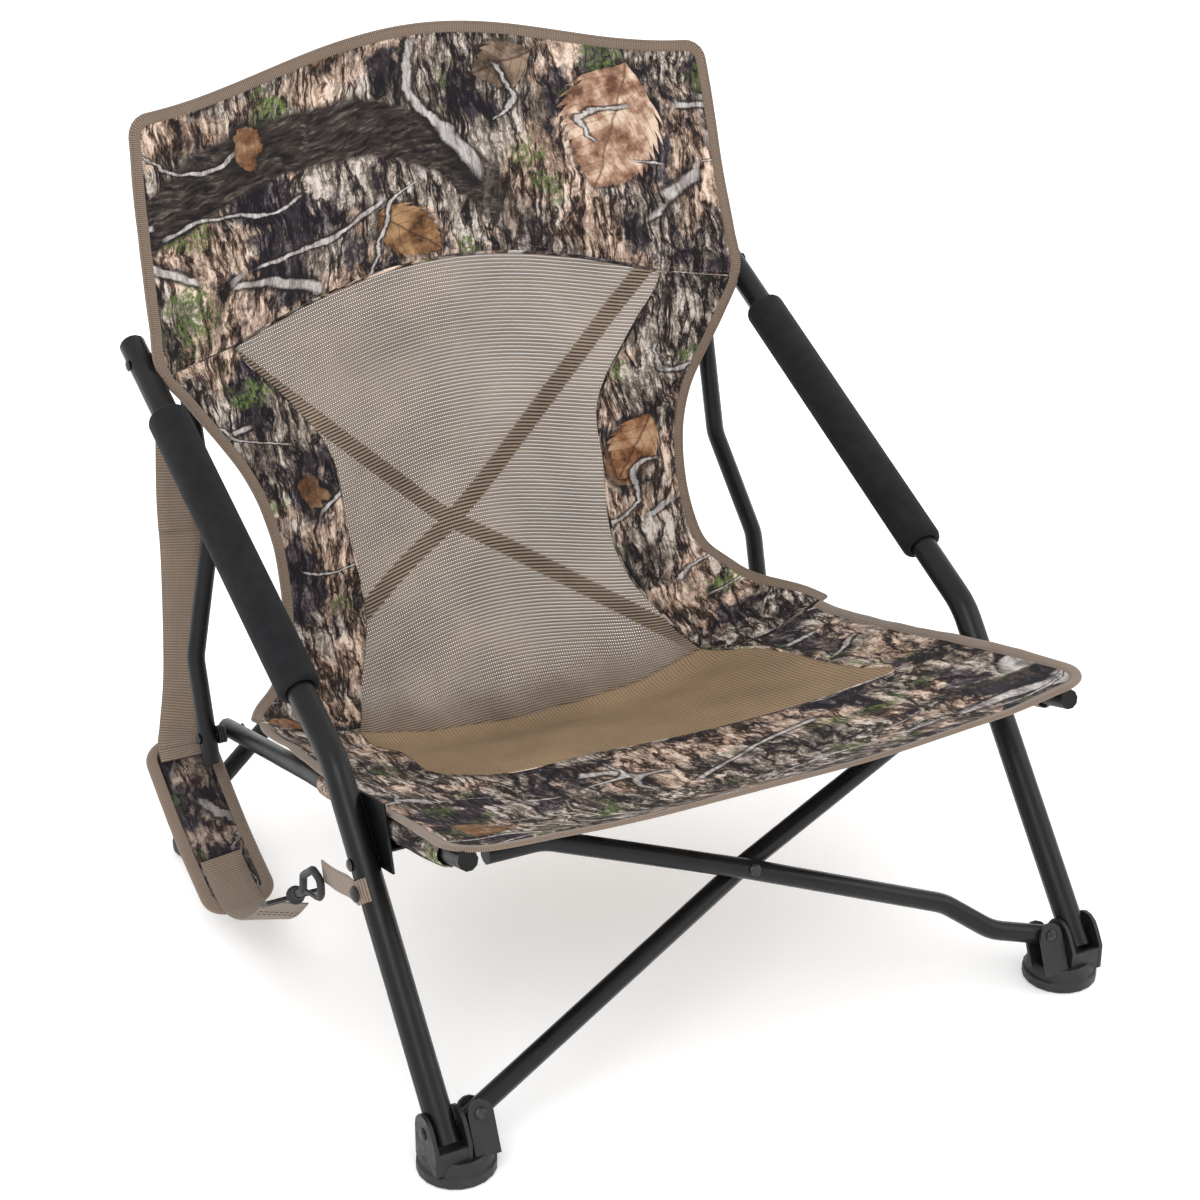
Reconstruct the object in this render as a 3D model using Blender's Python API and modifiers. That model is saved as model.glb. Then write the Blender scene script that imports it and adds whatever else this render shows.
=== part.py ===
"""Low folding field chair: two bent arm and leg tubes, two back uprights, front and
rear crossed tubes, hinged seat rails, a fabric sling and a carrying strap.

Frame: +X to the sitter's left, -Y to the front of the chair, +Z up, metres.
The origin is on the floor under the middle of the chair.
"""

import math

import bmesh
import bpy
from mathutils import Matrix, Vector

# ---------------------------------------------------------------- dimensions
GAP = 0.0003

ARM_R = 0.0110
ARM_X = 0.2810
LEG_END = (-0.3076, 0.0277)
FOOT_PIN = (-0.3000, 0.0370)
ARM_BEND = (-0.1235, 0.2548)
ARM_PIVOT = (0.2640, 0.4370)
ARM_TOP = (0.2840, 0.4464)
ARM_BEND_R = 0.060
GRIP_R = 0.0172
GRIP_LENGTH = 0.2960
GRIP_START = 0.0690

UPRIGHT_R = 0.0080
UPRIGHT_X = 0.2450
UPRIGHT_LOW_X = 0.2735
UPRIGHT_LEAN = 0.2550
UPRIGHT_TOP_Z = 0.6120
UPRIGHT_BEND_HIGH_Z = 0.2890
UPRIGHT_BEND_LOW_Z = 0.1920
UPRIGHT_END_Z = 0.1020
UPRIGHT_BEND_R = 0.045

RAIL_R = 0.0080
RAIL_PIVOT = (0.1840, 0.1240)
RAIL_PATH = (
    (0.2500, 0.2010, 0.1195),
    (0.2515, 0.0000, 0.1740),
    (0.2560, -0.2100, 0.2275),
    (0.2560, -0.3020, 0.2570),
)
RAIL_BEND_R = 0.120

SADDLE_REACH = 0.2260
SADDLE_PIN_REACH = 0.2140
SADDLE_T = 0.0020
SADDLE_GAP = 0.0030
SADDLE_TOP = 0.0240
SADDLE_BOTTOM = -0.0300
SADDLE_LIP = 0.0100
SADDLE_LENGTH = 0.0560

FRONT_PIN = (0.2533, -0.2970, 0.0414)
FRONT_CENTRE = (-0.2500, 0.1500)
CROSS_R = 0.0080
CROSS_SIDE = 0.0083
STRAIGHT_TUBE_PLAN = ((-0.2603, -0.0033), (0.0, 0.1183), (0.165, 0.1825), (0.213, 0.1835))
OFFSET_TUBE_PLAN = (
    (0.2603, -0.0025),
    (0.2050, 0.0165),
    (0.1655, 0.0485),
    (0.0, 0.1183),
    (-0.1650, 0.1825),
    (-0.2130, 0.1835),
)
CROSS_BEND_R = 0.050

REAR_TOP = (0.2450, 0.2932, 0.4700)
REAR_CENTRE_Y = 0.2850
REAR_CENTRE_Z = 0.2300
REAR_FOOT = (0.2800, 0.2130, 0.0400)
REAR_BEND_R = 0.300

PIN_R = 0.0026
PIN_HEAD_R = 0.0052
PIN_HEAD_H = 0.0022

FOOT_X = 0.2700
FOOT_BASE_R = 0.0300
FOOT_BASE_H = 0.0185
EAR_T = 0.0032

SLING_T = 0.0016
BACK_ROWS = (
    (0.2580, 0.2950, 0.6260, 0.3180, 0.6620),
    (0.2615, 0.2840, 0.5800, 0.3050, 0.6000),
    (0.2645, 0.2680, 0.5200, 0.2910, 0.5400),
    (0.2670, 0.2510, 0.4700, 0.2780, 0.4800),
    (0.2670, 0.2400, 0.4370, 0.2670, 0.4350),
    (0.2440, 0.2290, 0.4020, 0.2580, 0.3950),
    (0.2070, 0.2210, 0.3430, 0.2430, 0.3450),
    (0.1900, 0.2010, 0.2800, 0.2250, 0.2850),
    (0.1950, 0.1720, 0.2140, 0.1960, 0.2150),
    (0.2090, 0.1480, 0.1900, 0.1630, 0.1560),
    (0.2300, 0.1200, 0.1850, 0.1300, 0.1240),
    (0.2500, 0.1030, 0.1860, 0.1090, 0.1150),
)
SEAT_ROWS = (
    (0.2560, 0.0950, 0.1860, 0.1010, 0.1145),
    (0.2600, 0.0200, 0.1930, 0.0300, 0.1330),
    (0.2620, -0.1000, 0.2150, -0.0900, 0.1640),
    (0.2640, -0.2100, 0.2440, -0.2000, 0.1950),
    (0.2690, -0.3060, 0.2720, -0.3080, 0.2500),
)

STRAP_W = 0.0350
STRAP_ACROSS = (0.905, -0.425, 0.0)
PAD_W = 0.0600
RING_Z = 0.3780
STRAP_UPPER = (
    (-0.2580, 0.2730, 0.3640),
    (-0.2660, 0.2570, 0.2500),
    (-0.2760, 0.2450, 0.1600),
    (-0.2870, 0.2240, 0.1000),
)
STRAP_PAD = ((-0.2885, 0.2210, 0.0960), (-0.2920, 0.1380, 0.0600), (-0.2948, 0.0560, 0.0300))
STRAP_LOWER = (
    (-0.2952, 0.0515, 0.0290),
    (-0.2975, 0.0200, 0.0340),
    (-0.2990, -0.0200, 0.0640),
    (-0.3000, -0.0530, 0.0960),
)
HOOK_START = (-0.3000, -0.0760, 0.1170)
HOOK_END = (-0.3000, -0.1500, 0.1750)
TAB_REACH = 0.1925
TAB_TAIL = 0.0260
TAB_RISE = 0.0180

ORIGIN_SHIFT = (0.0113, 0.0056, 0.0)

SIDES = (("left", -1.0), ("right", 1.0))

FRONT_TILT = math.atan2(FRONT_CENTRE[0] - FRONT_PIN[1], FRONT_CENTRE[1] - FRONT_PIN[2])
PLANE_UP = Vector((0.0, math.sin(FRONT_TILT), math.cos(FRONT_TILT)))
PLANE_BACK = Vector((0.0, math.cos(FRONT_TILT), -math.sin(FRONT_TILT)))

# ---------------------------------------------------------------- scene setup
for old in list(bpy.data.objects):
    bpy.data.objects.remove(old, do_unlink=True)

scene = bpy.context.scene
chair = bpy.data.collections.new("folding_chair")
scene.collection.children.link(chair)
cutters = bpy.data.collections.new("cutters")
scene.collection.children.link(cutters)


def material(name, colour, roughness, metallic=0.0):
    made = bpy.data.materials.new(name)
    made.use_nodes = True
    shader = made.node_tree.nodes["Principled BSDF"]
    shader.inputs["Base Color"].default_value = (*colour, 1.0)
    shader.inputs["Roughness"].default_value = roughness
    shader.inputs["Metallic"].default_value = metallic
    return made


FRAME_PAINT = material("frame_paint", (0.020, 0.021, 0.023), 0.42)
RIVET_STEEL = material("rivet_steel", (0.045, 0.045, 0.050), 0.35, 0.8)
MOULDED_BLACK = material("moulded_black", (0.018, 0.018, 0.019), 0.60)
GRIP_FOAM = material("grip_foam", (0.030, 0.031, 0.035), 0.90)
SLING_MESH = material("sling_mesh", (0.420, 0.350, 0.270), 0.85)
SLING_PRINT = material("sling_print", (0.220, 0.190, 0.160), 0.85)
STRAP_WEB = material("strap_web", (0.300, 0.235, 0.175), 0.85)


# ---------------------------------------------------------------- helpers
def link(obj, collection=chair):
    collection.objects.link(obj)
    return obj


def finish_piece(obj, paint, smooth_angle=40.0):
    obj.data.materials.clear()
    obj.data.materials.append(paint)
    if obj.type == "MESH" and smooth_angle > 0.0:
        smooth_by_angle(obj.data, math.radians(smooth_angle))
    return obj


def smooth_by_angle(mesh, limit):
    for face in mesh.polygons:
        face.use_smooth = True
    work = bmesh.new()
    work.from_mesh(mesh)
    for edge in work.edges:
        edge.smooth = len(edge.link_faces) == 2 and edge.calc_face_angle(0.0) < limit
    work.to_mesh(mesh)
    work.free()


def rounded_path(points, radius, steps=6):
    """The points as one path, with each inner corner rounded to the radius."""
    points = [Vector(p) for p in points]
    path = [points[0]]
    for before, corner, after in zip(points, points[1:], points[2:]):
        inward = (before - corner).normalized()
        outward = (after - corner).normalized()
        half = inward.angle(outward) / 2.0
        reach = radius / math.tan(half)
        reach = min(reach, 0.45 * (before - corner).length, 0.45 * (after - corner).length)
        start = corner + inward * reach
        end = corner + outward * reach
        for step in range(steps + 1):
            t = step / steps
            first = start.lerp(corner, t)
            second = corner.lerp(end, t)
            path.append(first.lerp(second, t))
    path.append(points[-1])
    return path


def tube_curve(name, path, radius, resolution):
    curve = bpy.data.curves.new(name, "CURVE")
    curve.dimensions = "3D"
    curve.bevel_depth = radius
    curve.bevel_resolution = resolution
    curve.use_fill_caps = True
    curve.twist_mode = "MINIMUM"
    spline = curve.splines.new("POLY")
    spline.points.add(len(path) - 1)
    for point, place in zip(spline.points, path):
        point.co = (*place, 1.0)
    spline.use_smooth = True
    return bpy.data.objects.new(name, curve)


def tube(name, path, radius, paint, resolution=3):
    """A closed round tube or rod along the path, as a mesh."""
    source = link(tube_curve(name + "_path", path, radius, resolution), cutters)
    bpy.context.view_layer.update()
    depsgraph = bpy.context.evaluated_depsgraph_get()
    mesh = bpy.data.meshes.new_from_object(source.evaluated_get(depsgraph))
    bpy.data.objects.remove(source, do_unlink=True)
    work = bmesh.new()
    work.from_mesh(mesh)
    bmesh.ops.remove_doubles(work, verts=work.verts, dist=0.00001)
    bmesh.ops.recalc_face_normals(work, faces=work.faces)
    work.to_mesh(mesh)
    work.free()
    mesh.name = name
    return finish_piece(link(bpy.data.objects.new(name, mesh)), paint)


def aim(direction):
    """The rotation that turns +Z to the direction."""
    return Vector(direction).to_track_quat("Z", "Y").to_matrix().to_4x4()


def turned(name, profile, place, direction, paint, steps=24, collection=chair):
    """A solid turned about the direction. The profile is (radius, height) pairs, top first."""
    mesh = bpy.data.meshes.new(name)
    verts = [(r, 0.0, h) for r, h in profile]
    edges = [(i, i + 1) for i in range(len(profile) - 1)]
    mesh.from_pydata(verts, edges, [])
    obj = link(bpy.data.objects.new(name, mesh), collection)
    obj.matrix_world = Matrix.Translation(Vector(place)) @ aim(direction)
    screw = obj.modifiers.new("turn", "SCREW")
    screw.axis = "Z"
    screw.steps = steps
    screw.render_steps = steps
    screw.use_merge_vertices = True
    screw.merge_threshold = 0.00001
    screw.use_normal_calculate = True
    obj.data.materials.append(paint)
    return obj


def baked(obj, paint, smooth_angle=40.0):
    """Replaces the object's mesh by what its modifiers make, in world coordinates."""
    bpy.context.view_layer.update()
    depsgraph = bpy.context.evaluated_depsgraph_get()
    mesh = bpy.data.meshes.new_from_object(obj.evaluated_get(depsgraph))
    mesh.transform(obj.matrix_world)
    work = bmesh.new()
    work.from_mesh(mesh)
    bmesh.ops.remove_doubles(work, verts=work.verts, dist=0.000005)
    bmesh.ops.recalc_face_normals(work, faces=work.faces)
    work.to_mesh(mesh)
    work.free()
    mesh.name = obj.name
    obj.modifiers.clear()
    obj.data = mesh
    obj.matrix_world = Matrix.Identity(4)
    return finish_piece(obj, paint, smooth_angle)


def block(name, size, place, turn=None, collection=cutters):
    """A box of that size, centred on the place and turned by the matrix."""
    mesh = bpy.data.meshes.new(name)
    work = bmesh.new()
    bmesh.ops.create_cube(work, size=1.0)
    bmesh.ops.scale(work, verts=work.verts, vec=size)
    work.to_mesh(mesh)
    work.free()
    rotation = turn if turn is not None else Matrix.Identity(4)
    mesh.transform(Matrix.Translation(Vector(place)) @ rotation)
    return link(bpy.data.objects.new(name, mesh), collection)


def rod(name, start, end, radius, segments=24, collection=cutters):
    """A plain cylinder between two points."""
    start = Vector(start)
    end = Vector(end)
    mesh = bpy.data.meshes.new(name)
    work = bmesh.new()
    bmesh.ops.create_cone(
        work,
        cap_ends=True,
        segments=segments,
        radius1=radius,
        radius2=radius,
        depth=(end - start).length,
    )
    work.to_mesh(mesh)
    work.free()
    mesh.transform(Matrix.Translation((start + end) / 2.0) @ aim(end - start))
    return link(bpy.data.objects.new(name, mesh), collection)


def outline_hull(points):
    """The convex outline round some flat points, anticlockwise."""
    points = sorted(set((round(a, 6), round(b, 6)) for a, b in points))

    def half(run):
        kept = []
        for p in run:
            while len(kept) > 1 and turn_of(kept[-2], kept[-1], p) <= 1e-12:
                kept.pop()
            kept.append(p)
        return kept[:-1]

    return half(points) + half(points[::-1])


def turn_of(a, b, c):
    return (b[0] - a[0]) * (c[1] - a[1]) - (b[1] - a[1]) * (c[0] - a[0])


def disc_points(centre, radius, count=14):
    step = 2.0 * math.pi / count
    return [
        (centre[0] + radius * math.cos(step * i), centre[1] + radius * math.sin(step * i))
        for i in range(count)
    ]


def plate(name, outline, origin, across, up, thickness, collection=cutters):
    """A flat plate with that outline, centred on its middle plane."""
    across = Vector(across).normalized()
    up = Vector(up).normalized()
    depth = across.cross(up).normalized() * thickness
    base = Vector(origin) - depth / 2.0
    mesh = bpy.data.meshes.new(name)
    work = bmesh.new()
    verts = [work.verts.new(base + across * a + up * b) for a, b in outline]
    face = work.faces.new(verts)
    grown = bmesh.ops.extrude_face_region(work, geom=[face])
    moved = [item for item in grown["geom"] if isinstance(item, bmesh.types.BMVert)]
    bmesh.ops.translate(work, verts=moved, vec=depth)
    bmesh.ops.recalc_face_normals(work, faces=work.faces)
    work.to_mesh(mesh)
    work.free()
    return link(bpy.data.objects.new(name, mesh), collection)


def combine(obj, tool, operation):
    """Cuts the tool from the object or joins it on."""
    change = obj.modifiers.new(operation.lower(), "BOOLEAN")
    change.operation = operation
    change.solver = "EXACT"
    change.object = tool
    tool.hide_render = True
    tool.display_type = "WIRE"


def drill(obj, start, end, radius, paint):
    """Cuts a round hole between two points."""
    tool = rod(obj.name + "_drill", start, end, radius)
    combine(obj, tool, "DIFFERENCE")
    baked(obj, paint)
    bpy.data.objects.remove(tool, do_unlink=True)


def pin(name, start, end, paint=RIVET_STEEL, second_head=True):
    """A round-headed rivet whose shank runs from start to end. The heads sit outside."""
    start = Vector(start)
    end = Vector(end)
    length = (end - start).length
    dome = 0.55 * PIN_HEAD_R
    profile = [
        (0.0, length + PIN_HEAD_H),
        (dome, length + PIN_HEAD_H * 0.92),
        (PIN_HEAD_R * 0.88, length + PIN_HEAD_H * 0.55),
        (PIN_HEAD_R, length + GAP),
        (PIN_R, length + GAP),
    ]
    if second_head:
        profile += [
            (PIN_R, -GAP),
            (PIN_HEAD_R, -GAP),
            (PIN_HEAD_R * 0.88, -PIN_HEAD_H * 0.55),
            (dome, -PIN_HEAD_H * 0.92),
            (0.0, -PIN_HEAD_H),
        ]
    else:
        profile += [(PIN_R, GAP), (0.0, GAP)]
    obj = turned(name, profile, start, end - start, paint, steps=10)
    return baked(obj, paint)


def along(a, b, distance):
    """The point that far from a towards b, in the plane of the side."""
    a = Vector(a)
    b = Vector(b)
    return a + (b - a).normalized() * distance


def side_point(x, place):
    return Vector((x, place[0], place[1]))


def upright_y(z):
    return ARM_PIVOT[0] + UPRIGHT_LEAN * (z - ARM_PIVOT[1])


def plane_point(x, up, back=0.0):
    """A point of the front crossed tubes' plane."""
    base = Vector((x, FRONT_PIN[1], FRONT_PIN[2]))
    return base + PLANE_UP * up + PLANE_BACK * back


def ribbed_spacer(name, start, end, radius, bore, paint, ribs):
    """A ring with ribs turned round it, on a pin."""
    start = Vector(start)
    end = Vector(end)
    length = (end - start).length
    profile = []
    pitch = length / ribs
    for rib in range(ribs):
        top = length - rib * pitch
        profile.append((radius, top))
        profile.append((radius, top - pitch * 0.55))
        if rib < ribs - 1:
            profile.append((radius * 0.84, top - pitch * 0.60))
            profile.append((radius * 0.84, top - pitch * 0.95))
    profile.append((radius, 0.0))
    profile.append((bore, 0.0))
    profile.append((bore, length))
    profile.append((radius, length))
    obj = turned(name, profile, start, end - start, paint, steps=14)
    return baked(obj, paint)


# ---------------------------------------------------------------- side frames
def arm_and_leg(side, sign):
    x = sign * ARM_X
    corners = [side_point(x, LEG_END), side_point(x, ARM_BEND), side_point(x, ARM_TOP)]
    arm = tube("arm_tube_" + side, rounded_path(corners, ARM_BEND_R, 6), ARM_R, FRAME_PAINT, 5)
    outer = sign * (ARM_X + 0.03)
    inner = sign * (ARM_X - 0.03)
    drill(arm, side_point(inner, FOOT_PIN), side_point(outer, FOOT_PIN), PIN_R + GAP, FRAME_PAINT)
    drill(arm, side_point(inner, ARM_PIVOT), side_point(outer, ARM_PIVOT), PIN_R + GAP, FRAME_PAINT)
    leg_at_saddle = along(LEG_END, ARM_BEND, SADDLE_PIN_REACH)
    drill(
        arm,
        side_point(inner, leg_at_saddle),
        side_point(outer, leg_at_saddle),
        PIN_R + GAP,
        FRAME_PAINT,
    )
    return arm


def grip(side, sign):
    x = sign * ARM_X
    start = side_point(x, along(ARM_BEND, ARM_TOP, GRIP_START))
    end = side_point(x, along(ARM_BEND, ARM_TOP, GRIP_START + GRIP_LENGTH))
    length = (end - start).length
    bore = ARM_R + GAP
    edge = 0.0035
    profile = [
        (GRIP_R - edge, length),
        (GRIP_R - edge * 0.3, length - edge * 0.3),
        (GRIP_R, length - edge),
        (GRIP_R, edge),
        (GRIP_R - edge * 0.3, edge * 0.3),
        (GRIP_R - edge, 0.0),
        (bore, 0.0),
        (bore, length),
        (GRIP_R - edge, length),
    ]
    obj = turned("arm_grip_" + side, profile, start, end - start, GRIP_FOAM, steps=20)
    return baked(obj, GRIP_FOAM)


def arm_cap(side, sign):
    x = sign * ARM_X
    direction = side_point(0.0, ARM_TOP) - side_point(0.0, ARM_BEND)
    profile = [
        (0.0, 0.0042),
        (ARM_R * 0.62, 0.0036),
        (ARM_R * 0.90, 0.0020),
        (ARM_R, 0.0006),
        (ARM_R, GAP),
        (0.0, GAP),
    ]
    obj = turned("arm_cap_" + side, profile, side_point(x, ARM_TOP), direction, MOULDED_BLACK, 14)
    return baked(obj, MOULDED_BLACK)


def back_upright(side, sign):
    low = sign * UPRIGHT_LOW_X
    high = sign * UPRIGHT_X
    corners = [
        Vector((low, upright_y(UPRIGHT_END_Z), UPRIGHT_END_Z)),
        Vector((low, upright_y(UPRIGHT_BEND_LOW_Z), UPRIGHT_BEND_LOW_Z)),
        Vector((high, upright_y(UPRIGHT_BEND_HIGH_Z), UPRIGHT_BEND_HIGH_Z)),
        Vector((high, upright_y(UPRIGHT_TOP_Z), UPRIGHT_TOP_Z)),
    ]
    path = rounded_path(corners, UPRIGHT_BEND_R, 4)
    post = tube("back_upright_" + side, path, UPRIGHT_R, FRAME_PAINT)
    hole = PIN_R + GAP
    reach = 0.02
    arm_axis = side_point(high, ARM_PIVOT)
    drill(post, arm_axis - Vector((reach, 0, 0)), arm_axis + Vector((reach, 0, 0)), hole, FRAME_PAINT)
    rail_axis = side_point(low, RAIL_PIVOT)
    drill(post, rail_axis - Vector((reach, 0, 0)), rail_axis + Vector((reach, 0, 0)), hole, FRAME_PAINT)
    rear_axis = Vector((high, upright_y(REAR_TOP[2]), REAR_TOP[2]))
    drill(post, rear_axis - Vector((0, reach, 0)), rear_axis + Vector((0, reach, 0)), hole, FRAME_PAINT)
    return post


def arm_pivot(side, sign):
    inner_arm = sign * (ARM_X - ARM_R - GAP)
    outer_post = sign * (UPRIGHT_X + UPRIGHT_R + GAP)
    ribbed_spacer(
        "arm_spacer_" + side,
        side_point(outer_post, ARM_PIVOT),
        side_point(inner_arm, ARM_PIVOT),
        0.0088,
        PIN_R + GAP,
        MOULDED_BLACK,
        4,
    )
    start = side_point(sign * (UPRIGHT_X - UPRIGHT_R), ARM_PIVOT)
    end = side_point(sign * (ARM_X + ARM_R), ARM_PIVOT)
    pin("arm_pivot_pin_" + side, start, end)


def rail_saddle(side, sign):
    """A folded plate riveted to the leg. Its trough carries the seat rail."""
    centre = along(LEG_END, ARM_BEND, SADDLE_REACH)
    slope = (RAIL_PATH[2][2] - RAIL_PATH[1][2]) / (RAIL_PATH[2][1] - RAIL_PATH[1][1])
    rail_z = RAIL_PATH[2][2] + slope * (centre[0] - RAIL_PATH[2][1])
    forward = Vector((0.0, -1.0, -slope)).normalized()
    up = Vector((sign, 0.0, 0.0)).cross(forward) * -sign
    wall = ARM_X - ARM_R - GAP
    inner = RAIL_PATH[2][0] - RAIL_R - SADDLE_GAP - SADDLE_T
    floor = -RAIL_R - SADDLE_GAP
    outline = [
        (wall, SADDLE_TOP),
        (wall, SADDLE_BOTTOM),
        (wall - SADDLE_T, SADDLE_BOTTOM),
        (wall - SADDLE_T, floor - SADDLE_T),
        (inner, floor - SADDLE_T),
        (inner, floor + SADDLE_LIP),
        (inner + SADDLE_T, floor + SADDLE_LIP),
        (inner + SADDLE_T, floor),
        (wall - SADDLE_T, floor),
        (wall - SADDLE_T, SADDLE_TOP),
    ]
    saddle = plate(
        "rail_saddle_" + side,
        outline,
        (0.0, centre[0], rail_z),
        (sign, 0.0, 0.0),
        up,
        SADDLE_LENGTH,
        chair,
    )
    rivet = along(LEG_END, ARM_BEND, SADDLE_PIN_REACH)
    start = side_point(sign * (wall - SADDLE_T), rivet)
    end = side_point(sign * (ARM_X + ARM_R), rivet)
    drill(saddle, start - (end - start), end, PIN_R + GAP, FRAME_PAINT)
    pin("saddle_pin_" + side, start, end)


def front_foot(side, sign):
    """A moulded foot: round base, a clevis for the leg end and a clevis for the crossed tube."""
    base = turned(
        "front_foot_" + side,
        [
            (0.0, FOOT_BASE_H),
            (FOOT_BASE_R * 0.80, FOOT_BASE_H),
            (FOOT_BASE_R * 0.90, FOOT_BASE_H - 0.0030),
            (FOOT_BASE_R * 0.93, 0.0100),
            (FOOT_BASE_R, 0.0085),
            (FOOT_BASE_R, 0.0015),
            (FOOT_BASE_R - 0.0015, 0.0),
            (0.0, 0.0),
        ],
        (sign * FOOT_X, FOOT_PIN[0], 0.0),
        (0, 0, 1),
        MOULDED_BLACK,
        20,
    )
    tools = []
    ear_outline = outline_hull(
        disc_points(FOOT_PIN, 0.0150)
        + [(FOOT_PIN[0] - 0.0205, 0.0110), (FOOT_PIN[0] - 0.0205, 0.0320)]
        + [(FOOT_PIN[0] + 0.0150, 0.0110)]
    )
    for shift in (ARM_R + GAP * 2 + EAR_T / 2, -(ARM_R + GAP * 2 + EAR_T / 2)):
        ear_x = sign * (ARM_X + shift)
        tools.append(plate("ear", ear_outline, (ear_x, 0, 0), (0, 1, 0), (0, 0, 1), EAR_T))
    heel_place = (sign * ARM_X, FOOT_PIN[0] - 0.0187, 0.0205)
    tools.append(block("foot_heel", (0.0270, 0.0030, 0.0190), heel_place))
    clevis_outline = outline_hull(
        disc_points((0.0, 0.0), 0.0102) + [(-0.0102, -0.0320), (0.0102, -0.0320)]
    )
    for shift in (CROSS_R + GAP * 2 + EAR_T / 2, -(CROSS_R + GAP * 2 + EAR_T / 2)):
        middle = plane_point(sign * FRONT_PIN[0], 0.0, shift)
        tools.append(plate("clevis", clevis_outline, middle, (1, 0, 0), PLANE_UP, EAR_T))
    for tool in tools:
        combine(base, tool, "UNION")
    leg_hole = rod(
        "foot_hole",
        (sign * (ARM_X - 0.0200), FOOT_PIN[0], FOOT_PIN[1]),
        (sign * (ARM_X + 0.0250), FOOT_PIN[0], FOOT_PIN[1]),
        PIN_R + GAP,
    )
    centre = plane_point(sign * FRONT_PIN[0], 0.0)
    cross_hole = rod("cross_hole", centre - PLANE_BACK * 0.02, centre + PLANE_BACK * 0.02, PIN_R + GAP)
    for tool in (leg_hole, cross_hole):
        combine(base, tool, "DIFFERENCE")
        tools.append(tool)
    baked(base, MOULDED_BLACK, 30.0)
    for tool in tools:
        bpy.data.objects.remove(tool, do_unlink=True)
    ear_out = ARM_R + GAP * 2 + EAR_T
    pin(
        "foot_pin_" + side,
        (sign * (ARM_X - ear_out), FOOT_PIN[0], FOOT_PIN[1]),
        (sign * (ARM_X + ear_out), FOOT_PIN[0], FOOT_PIN[1]),
    )
    clevis_out = CROSS_R + GAP * 2 + EAR_T
    pin("clevis_pin_" + side, centre + PLANE_BACK * clevis_out, centre - PLANE_BACK * clevis_out)


# ---------------------------------------------------------------- crossed tubes
def front_cross():
    lengths = abs(STRAIGHT_TUBE_PLAN[0][0])
    straight = []
    for x, up in STRAIGHT_TUBE_PLAN:
        back = CROSS_SIDE * (x + lengths) / lengths
        straight.append(plane_point(x, up, back))
    offset = []
    for x, up in OFFSET_TUBE_PLAN:
        back = -CROSS_SIDE * (lengths - x) / lengths
        offset.append(plane_point(x, up, back))
    centre = plane_point(0.0, STRAIGHT_TUBE_PLAN[1][1])
    through = PLANE_BACK * 0.03
    hole = PIN_R + GAP
    for name, points, sign in (
        ("front_cross_straight", straight, -1.0),
        ("front_cross_offset", offset, 1.0),
    ):
        path = rounded_path(points, CROSS_BEND_R, 3)
        piece = tube(name, path, CROSS_R, FRAME_PAINT)
        foot = plane_point(sign * FRONT_PIN[0], 0.0)
        drill(piece, centre - through, centre + through, hole, FRAME_PAINT)
        drill(piece, foot - through, foot + through, hole, FRAME_PAINT)
    reach = PLANE_BACK * (CROSS_SIDE + CROSS_R)
    pin("front_cross_pin", centre + reach, centre - reach)


def rear_leg(name, sign, side_offset):
    """One rear crossed tube, pinned to the upright on the sign side, with its foot opposite."""
    corners = [
        Vector((sign * (REAR_TOP[0] + 0.0066), REAR_TOP[1], REAR_TOP[2] + 0.0066)),
        Vector((sign * REAR_TOP[0] * 0.72, REAR_TOP[1], REAR_CENTRE_Z + 0.1728)),
        Vector((sign * 0.0400, REAR_CENTRE_Y + side_offset, REAR_CENTRE_Z + 0.0397)),
        Vector((0.0, REAR_CENTRE_Y + side_offset, REAR_CENTRE_Z)),
        Vector((-sign * 0.0400, REAR_CENTRE_Y + side_offset, REAR_CENTRE_Z - 0.0271)),
        Vector((-sign * REAR_FOOT[0], REAR_FOOT[1], REAR_FOOT[2])),
    ]
    piece = tube(name, rounded_path(corners, REAR_BEND_R, 3), CROSS_R, FRAME_PAINT)
    hole = PIN_R + GAP
    centre = Vector((0.0, REAR_CENTRE_Y, REAR_CENTRE_Z))
    through = Vector((0.0, 0.03, 0.0))
    drill(piece, centre - through, centre + through, hole, FRAME_PAINT)
    return piece


def rear_foot(side, sign):
    """A round foot under the end of a rear tube, on a pin between two ears."""
    place = Vector((sign * (REAR_FOOT[0] - 0.0075), REAR_FOOT[1] + 0.0018, REAR_FOOT[2] + 0.0052))
    base = turned(
        "rear_foot_" + side,
        [
            (0.0, 0.0170),
            (FOOT_BASE_R * 0.72, 0.0170),
            (FOOT_BASE_R * 0.82, 0.0145),
            (FOOT_BASE_R * 0.86, 0.0100),
            (FOOT_BASE_R * 0.93, 0.0085),
            (FOOT_BASE_R * 0.93, 0.0015),
            (FOOT_BASE_R * 0.88, 0.0),
            (0.0, 0.0),
        ],
        (place.x, place.y, 0.0),
        (0, 0, 1),
        MOULDED_BLACK,
        20,
    )
    tools = []
    clear = CROSS_R + 0.0058 + EAR_T / 2
    ear_outline = outline_hull(
        disc_points((0.0, place.z), 0.0120) + [(-0.0120, 0.0100), (0.0120, 0.0100)]
    )
    for shift in (clear, -clear):
        middle = (place.x, place.y + shift, 0.0)
        tools.append(plate("rear_ear", ear_outline, middle, (1, 0, 0), (0, 0, 1), EAR_T))
    for tool in tools:
        combine(base, tool, "UNION")
    hole = rod(
        "rear_foot_hole",
        place - Vector((0, 0.03, 0)),
        place + Vector((0, 0.03, 0)),
        PIN_R + GAP,
    )
    combine(base, hole, "DIFFERENCE")
    tools.append(hole)
    baked(base, MOULDED_BLACK, 30.0)
    for tool in tools:
        bpy.data.objects.remove(tool, do_unlink=True)
    out = Vector((0.0, clear + EAR_T / 2, 0.0))
    pin("rear_foot_pin_" + side, place + out, place - out)
    return place


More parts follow.
